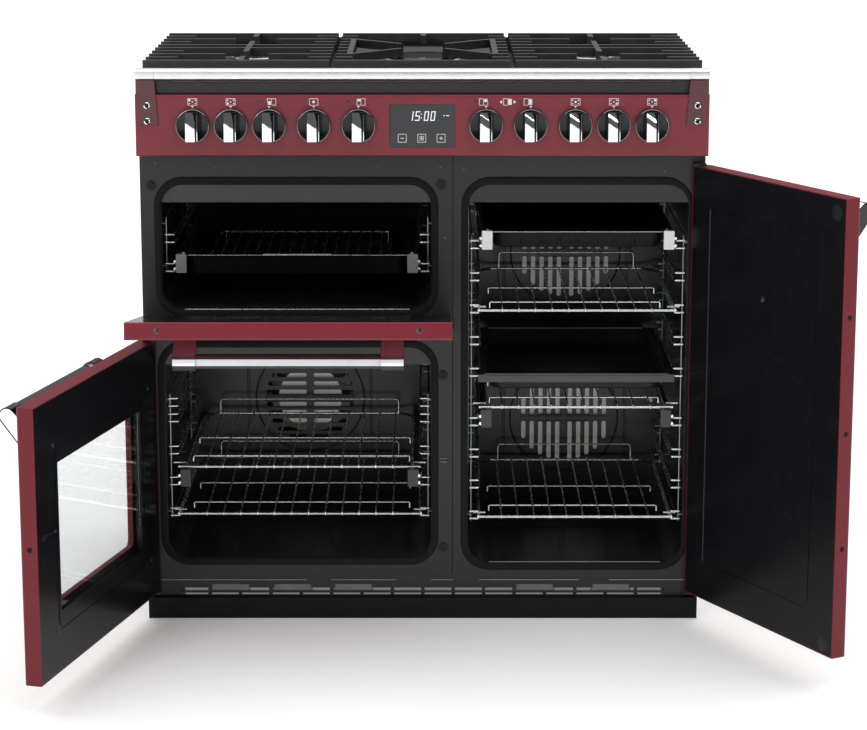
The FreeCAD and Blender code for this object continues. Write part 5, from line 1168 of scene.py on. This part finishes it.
def printed(name, shapes, y, material):
    """Thin printed shapes on a face that looks forward."""
    parts = []
    for shape in shapes:
        kind = shape[0]
        values = [v * MM for v in shape[1:]]
        if kind == "bar":
            x0, x1, z0, z1 = values
            parts.append(brick(x0, x1, y - PRINT_T, y + PRINT_T, z0, z1))
        elif kind == "box":
            x0, x1, z0, z1, line = values
            parts.append(hoop("Y", round_rect(x0, x1, z0, z1, 0.8 * MM, 3),
                              round_rect(x0 + line, x1 - line, z0 + line, z1 - line, 0.4 * MM, 3),
                              y - PRINT_T, y + PRINT_T))
        elif kind == "tri":
            x, z, dx, dz = values
            tip = (x + dx, z + dz)
            side = (abs(dz) * 0.7, abs(dx) * 0.7)
            parts.append(prism("Y", [tip, (x + side[0], z + side[1]), (x - side[0], z - side[1])],
                               y - PRINT_T, y + PRINT_T))
        elif kind == "slant":
            x0, x1, z0, z1 = values
            lean = [(x0, z0), (x1, z0), (x1, z1), (x0, z1)]
            parts.append(prism("Y", [(a + 0.12 * (b - DIGIT_Z * MM), b) for a, b in lean], y - PRINT_T,
                               y + PRINT_T))
        elif kind == "dot":
            x, z, radius = values
            parts.append(lathe([(0, -PRINT_T), (radius, -PRINT_T), (radius, PRINT_T), (0, PRINT_T)],
                               (x, y, z),
                               (0, -1, 0), 20))
    solid(name, parts, material, "chassis")


SYMBOL_Z = 854.0
SYMBOL_W = 15.0
SYMBOL_H = 11.0


def symbols():
    """Generic position signs and index dots above the knobs."""
    shapes = []
    h = SYMBOL_H / 2
    for index, x in enumerate(TAP_XS):
        x = x / MM
        w = SYMBOL_W / 2
        shapes.append(("box", x - w, x + w, SYMBOL_Z - h, SYMBOL_Z + h, 0.8))
        spots = [(-4.6, 2.6), (-4.6, -2.6), (4.6, 2.6), (4.6, -2.6), (0.0, 0.0)]
        for n, (dx, dz) in enumerate(spots):
            lit = n == (0, 1, 4, 3, 2)[index]
            radius = 1.9 if lit else 1.1
            shapes.append(("dot", x + dx, SYMBOL_Z + dz, radius))
    for index, x in enumerate(SWITCH_XS):
        x = x / MM + (4.0 if index in (0, 2) else -4.0 if index in (3, 4) else 0.0)
        w = 7.0
        shapes.append(("box", x - w, x + w, SYMBOL_Z - h, SYMBOL_Z + h, 0.8))
        if index == 1:
            shapes.append(("dot", x, SYMBOL_Z, 2.2))
            continue
        shapes.append(("bar", x - 0.4, x + 0.4, SYMBOL_Z - h, SYMBOL_Z + h))
        part = {0: (-w, 0, -h, 1), 2: (-w, 0, 1, h), 3: (0, w, 0, h), 4: (0, w, -h, h)}[index]
        shapes.append(("bar", x + part[0], x + part[1], SYMBOL_Z + part[2], SYMBOL_Z + part[3]))
    middle = 134.0
    shapes += [("box", middle - 7.0, middle + 7.0, SYMBOL_Z - h, SYMBOL_Z + h, 0.8),
               ("bar", middle, middle + 7.0, SYMBOL_Z - h, SYMBOL_Z + h),
               ("tri", middle - 9.0, SYMBOL_Z, -4.0, 0.0), ("tri", middle + 9.0, SYMBOL_Z, 4.0, 0.0)]
    for x in [v / MM for v in TAP_XS + SWITCH_XS]:
        shapes += [("tri", x, 847.6, 0.0, -3.6), ("bar", x - 0.3, x + 0.3, 843.4, 845.0)]
    printed("panel_symbols", shapes, FRONT, INK)
    lamps = [lathe(sized((0, -0.2), (2.6, -0.2), (2.6, 0.4), (0, 0.8)), (x * MM, FRONT, SYMBOL_Z * MM),
                   (0, -1, 0), 20) for x in (-257, -116, 84.5, 155)]
    solid("indicator_lamps", lamps, LAMP_GREY, "chassis")


DIGIT_Z = 824.5
SEGMENTS = {"1": "bc", "5": "afgcd", "0": "abcdef"}


def digit(character, x, z, w, h, line):
    """Seven-segment digit as bars."""
    lay = {
        "a": (x, x + w, z + h - line, z + h), "g": (x, x + w, z + (h - line) / 2, z + (h + line) / 2),
        "d": (x, x + w, z, z + line), "f": (x, x + line, z + h / 2, z + h), "e": (x, x + line, z, z + h / 2),
        "b": (x + w - line, x + w, z + h / 2, z + h), "c": (x + w - line, x + w, z, z + h / 2),
    }
    return [("slant", *lay[segment]) for segment in SEGMENTS[character]]


def display():
    """Dark glass clock with generic digits and three touch keys, over its housing."""
    low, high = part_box("display")
    glass_back = low.y + 4.0 * MM
    glass = prism("Y", round_rect(low.x, high.x, low.z, high.z, 2.8 * MM, 5), low.y, glass_back)
    inset = 4.0 * MM
    housing = brick(low.x + inset, high.x - inset, glass_back - 0.1 * MM, high.y, low.z + inset,
                    high.z - inset)
    solid("display_glass", [glass], DISPLAY_GLASS, "chassis", ["display"], rounding=0.4 * MM)
    solid("display_housing", [housing], MATTE_BLACK, "chassis", rounding=1.0 * MM)
    face = low.y
    shapes = []
    for character, x in (("1", -22.0), ("5", -11.6), ("0", 2.2), ("0", 12.4)):
        shapes += digit(character, x, 824.5, 7.0, 15.0, 1.5)
    shapes += [("dot", -1.3, 829.0, 0.9), ("dot", -1.3, 835.0, 0.9)]
    shapes += [("bar", 33.0, 35.0, 832.0, 833.2), ("bar", 37.0, 42.0, 832.0, 833.2)]
    printed("clock_digits", shapes, face, LIT_INK)
    keys = []
    for x in (-31.4, -0.8, 29.5):
        keys.append(("box", x - 6.7, x + 6.7, 797.0 - 6.7, 797.0 + 6.7, 0.7))
    keys += [("bar", -34.0, -28.8, 796.5, 797.5), ("bar", 26.9, 32.1, 796.5, 797.5),
             ("bar", 29.0, 30.0, 794.4, 799.6)]
    keys += [("box", -4.0, 2.4, 793.8, 800.2, 0.7), ("dot", -0.8, 797.0, 1.3)]
    printed("touch_keys", keys, face, INK)


# ---- hob ----
def burner_sites():
    """Centre and head radius of each burner, from the frame."""
    spots = {}
    for v in NODES["burner_caps"].data.vertices:
        x, y = v.co.x, v.co.y
        key = (0 if abs(x) < 0.1 else (1 if x > 0 else -1), 0 if abs(x) < 0.1 else (1 if y > -0.02 else -1))
        spots.setdefault(key, []).append((x, y))
    sites = []
    for points in spots.values():
        xs, ys = [p[0] for p in points], [p[1] for p in points]
        sites.append(((min(xs) + max(xs)) / 2, (min(ys) + max(ys)) / 2, (max(xs) - min(xs)) / 2))
    return sites


def burners():
    """Flame heads with radial ports, flanges, spark plugs and enamelled caps."""
    cap_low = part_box("burner_caps")[0]
    base = HOB_HIGH_Z
    heads, petals, caps, sparks, flanges = [], [], [], [], []
    for x, y, cap_r in burner_sites():
        r = cap_r + 3 * MM
        flanges.append(lathe([(r - 8 * MM, 0), (r + 6 * MM, 0), (r + 6 * MM, 1.2 * MM),
                              (r + 3.5 * MM, 3 * MM), (r - 8 * MM, 3 * MM)],
                             (x, y, base), (0, 0, 1), 48))
        heads.append(lathe([(0, 2 * MM), (r - 3 * MM, 2 * MM), (r - 3 * MM, 8 * MM), (r - 1 * MM, 9 * MM),
                            (r, 12 * MM),
                            (r - 2 * MM, 13 * MM), (0, 13 * MM)], (x, y, base), (0, 0, 1), 48))
        count = int(r / MM * 0.75)
        for i in range(count):
            turn = Matrix.Translation((x, y, base)) @ Matrix.Rotation(math.tau * i / count, 4, "Z")
            tooth = brick(r - 4.5 * MM, r - 0.6 * MM, -1.3 * MM, 1.3 * MM, 2.5 * MM, 12.2 * MM)
            petals.append(moved(tooth, turn))
        caps.append(lathe([(0, 0), (cap_r - 1.5 * MM, 0), (cap_r, 1.0 * MM), (cap_r - 0.5 * MM, 2.6 * MM),
                           (cap_r - 5 * MM, 3.9 * MM),
                           (0, 4.4 * MM)], (x, y, cap_low.z), (0, 0, 1), 48))
        sparks.append(lathe(sized((0, 0), (2.6, 0), (2.6, 6), (1.2, 7), (1.0, 12), (0, 12.5)),
                            (x + (r + 3 * MM) * 0.5, y + (r + 3 * MM) * 0.866, base), (0, 0, 1), 16))
    solid("burner_flanges", flanges, ALUMINIUM, "chassis", ["burner_heads"])
    solid("burner_crowns", heads + petals, ALUMINIUM, "chassis")
    solid("burner_lids", caps, ENAMEL, "chassis", ["burner_caps"])
    solid("spark_plugs", sparks, INK, "chassis")


HOB_HIGH_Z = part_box("burner_heads")[1].z - 13.0 * MM


# ---- stage, light and camera ----
WORLD_LIGHT = 0.11
SUN_LIGHT = 3.75
SUN_SPREAD = 95.0
FLOOR_HALF = 16.0


def stage():
    """Pale floor, soft overhead light and two front softboxes."""
    scene = bpy.context.scene
    mesh = bpy.data.meshes.new("floor")
    size = FLOOR_HALF
    mesh.from_pydata([(-size, -size, 0), (size, -size, 0), (size, size, 0), (-size, size, 0)], [],
                     [(0, 1, 2, 3)])
    floor = bpy.data.objects.new("floor", mesh)
    floor.location.z = -0.0005
    scene.collection.objects.link(floor)
    floor.data.materials.append(shader("pale_floor", (0.92, 0.92, 0.92), 0.8, mottle=(2.0, 0.008),
                                       grain=(50.0, 0.0), shine=0.1, glow=0.16))
    world = bpy.data.worlds.new("studio")
    scene.world = world
    world.use_nodes = True
    background = world.node_tree.nodes["Background"]
    background.inputs["Color"].default_value = (1.0, 1.0, 1.0, 1)
    background.inputs["Strength"].default_value = WORLD_LIGHT
    sky = bpy.data.lights.new("overhead", "SUN")
    sky.energy = SUN_LIGHT
    sky.angle = math.radians(SUN_SPREAD)
    lamp = bpy.data.objects.new("overhead", sky)
    lamp.rotation_euler = (math.radians(-14), math.radians(4), 0)
    scene.collection.objects.link(lamp)

    def softbox(name, spot, aim, width, height, power):
        light = bpy.data.lights.new(name, "AREA")
        light.shape = "RECTANGLE"
        light.size = width
        light.size_y = height
        light.energy = power
        item = bpy.data.objects.new(name, light)
        item.location = spot
        item.rotation_mode = "QUATERNION"
        item.rotation_quaternion = (Vector(aim) - Vector(spot)).to_track_quat("-Z", "Y")
        scene.collection.objects.link(item)

    softbox("front_left", (-2.2, -4.4, 2.2), (0.0, 0.0, 0.5), 1.2, 2.0, 46.0)
    softbox("front_right", (2.6, -4.0, 1.8), (0.0, 0.0, 0.4), 0.9, 2.0, 28.0)


CAMERA_SPOT = (0.0176, -4.4857, 1.3624)
CAMERA_PITCH = 12.53
LENS = 111.3


def camera():
    """Camera at the photograph's place, turned down to the cooker."""
    data = bpy.data.cameras.new("view")
    data.lens = LENS
    data.sensor_width = 36.0
    item = bpy.data.objects.new("view", data)
    item.location = CAMERA_SPOT
    item.rotation_euler = (math.radians(90.0 - CAMERA_PITCH), 0.0, 0.0)
    bpy.context.scene.collection.objects.link(item)
    bpy.context.scene.camera = item
    bpy.context.scene.view_settings.view_transform = "Standard"


finish_nodes()
for support in ("pan_support_left", "pan_support_middle", "pan_support_right"):
    soften(support, 1.2 * MM)
soften("plinth", 1.0 * MM)
side_racks()
fixed_rails()
shelves()
grill_pan()
tall_tray()
roasting_tin()
seals()
lips()
wall_details()
fan_plates()
frame_screws()
right_door_details()
left_door_details()
grill_door_details()
for leaf, swing in (("grill", GRILL_SWING), ("left", LEFT_SWING), ("right", RIGHT_SWING)):
    handle(swing, leaf + "_door", leaf == "grill")
front_rail()
knobs()
symbols()
display()
burners()
stage()
camera()
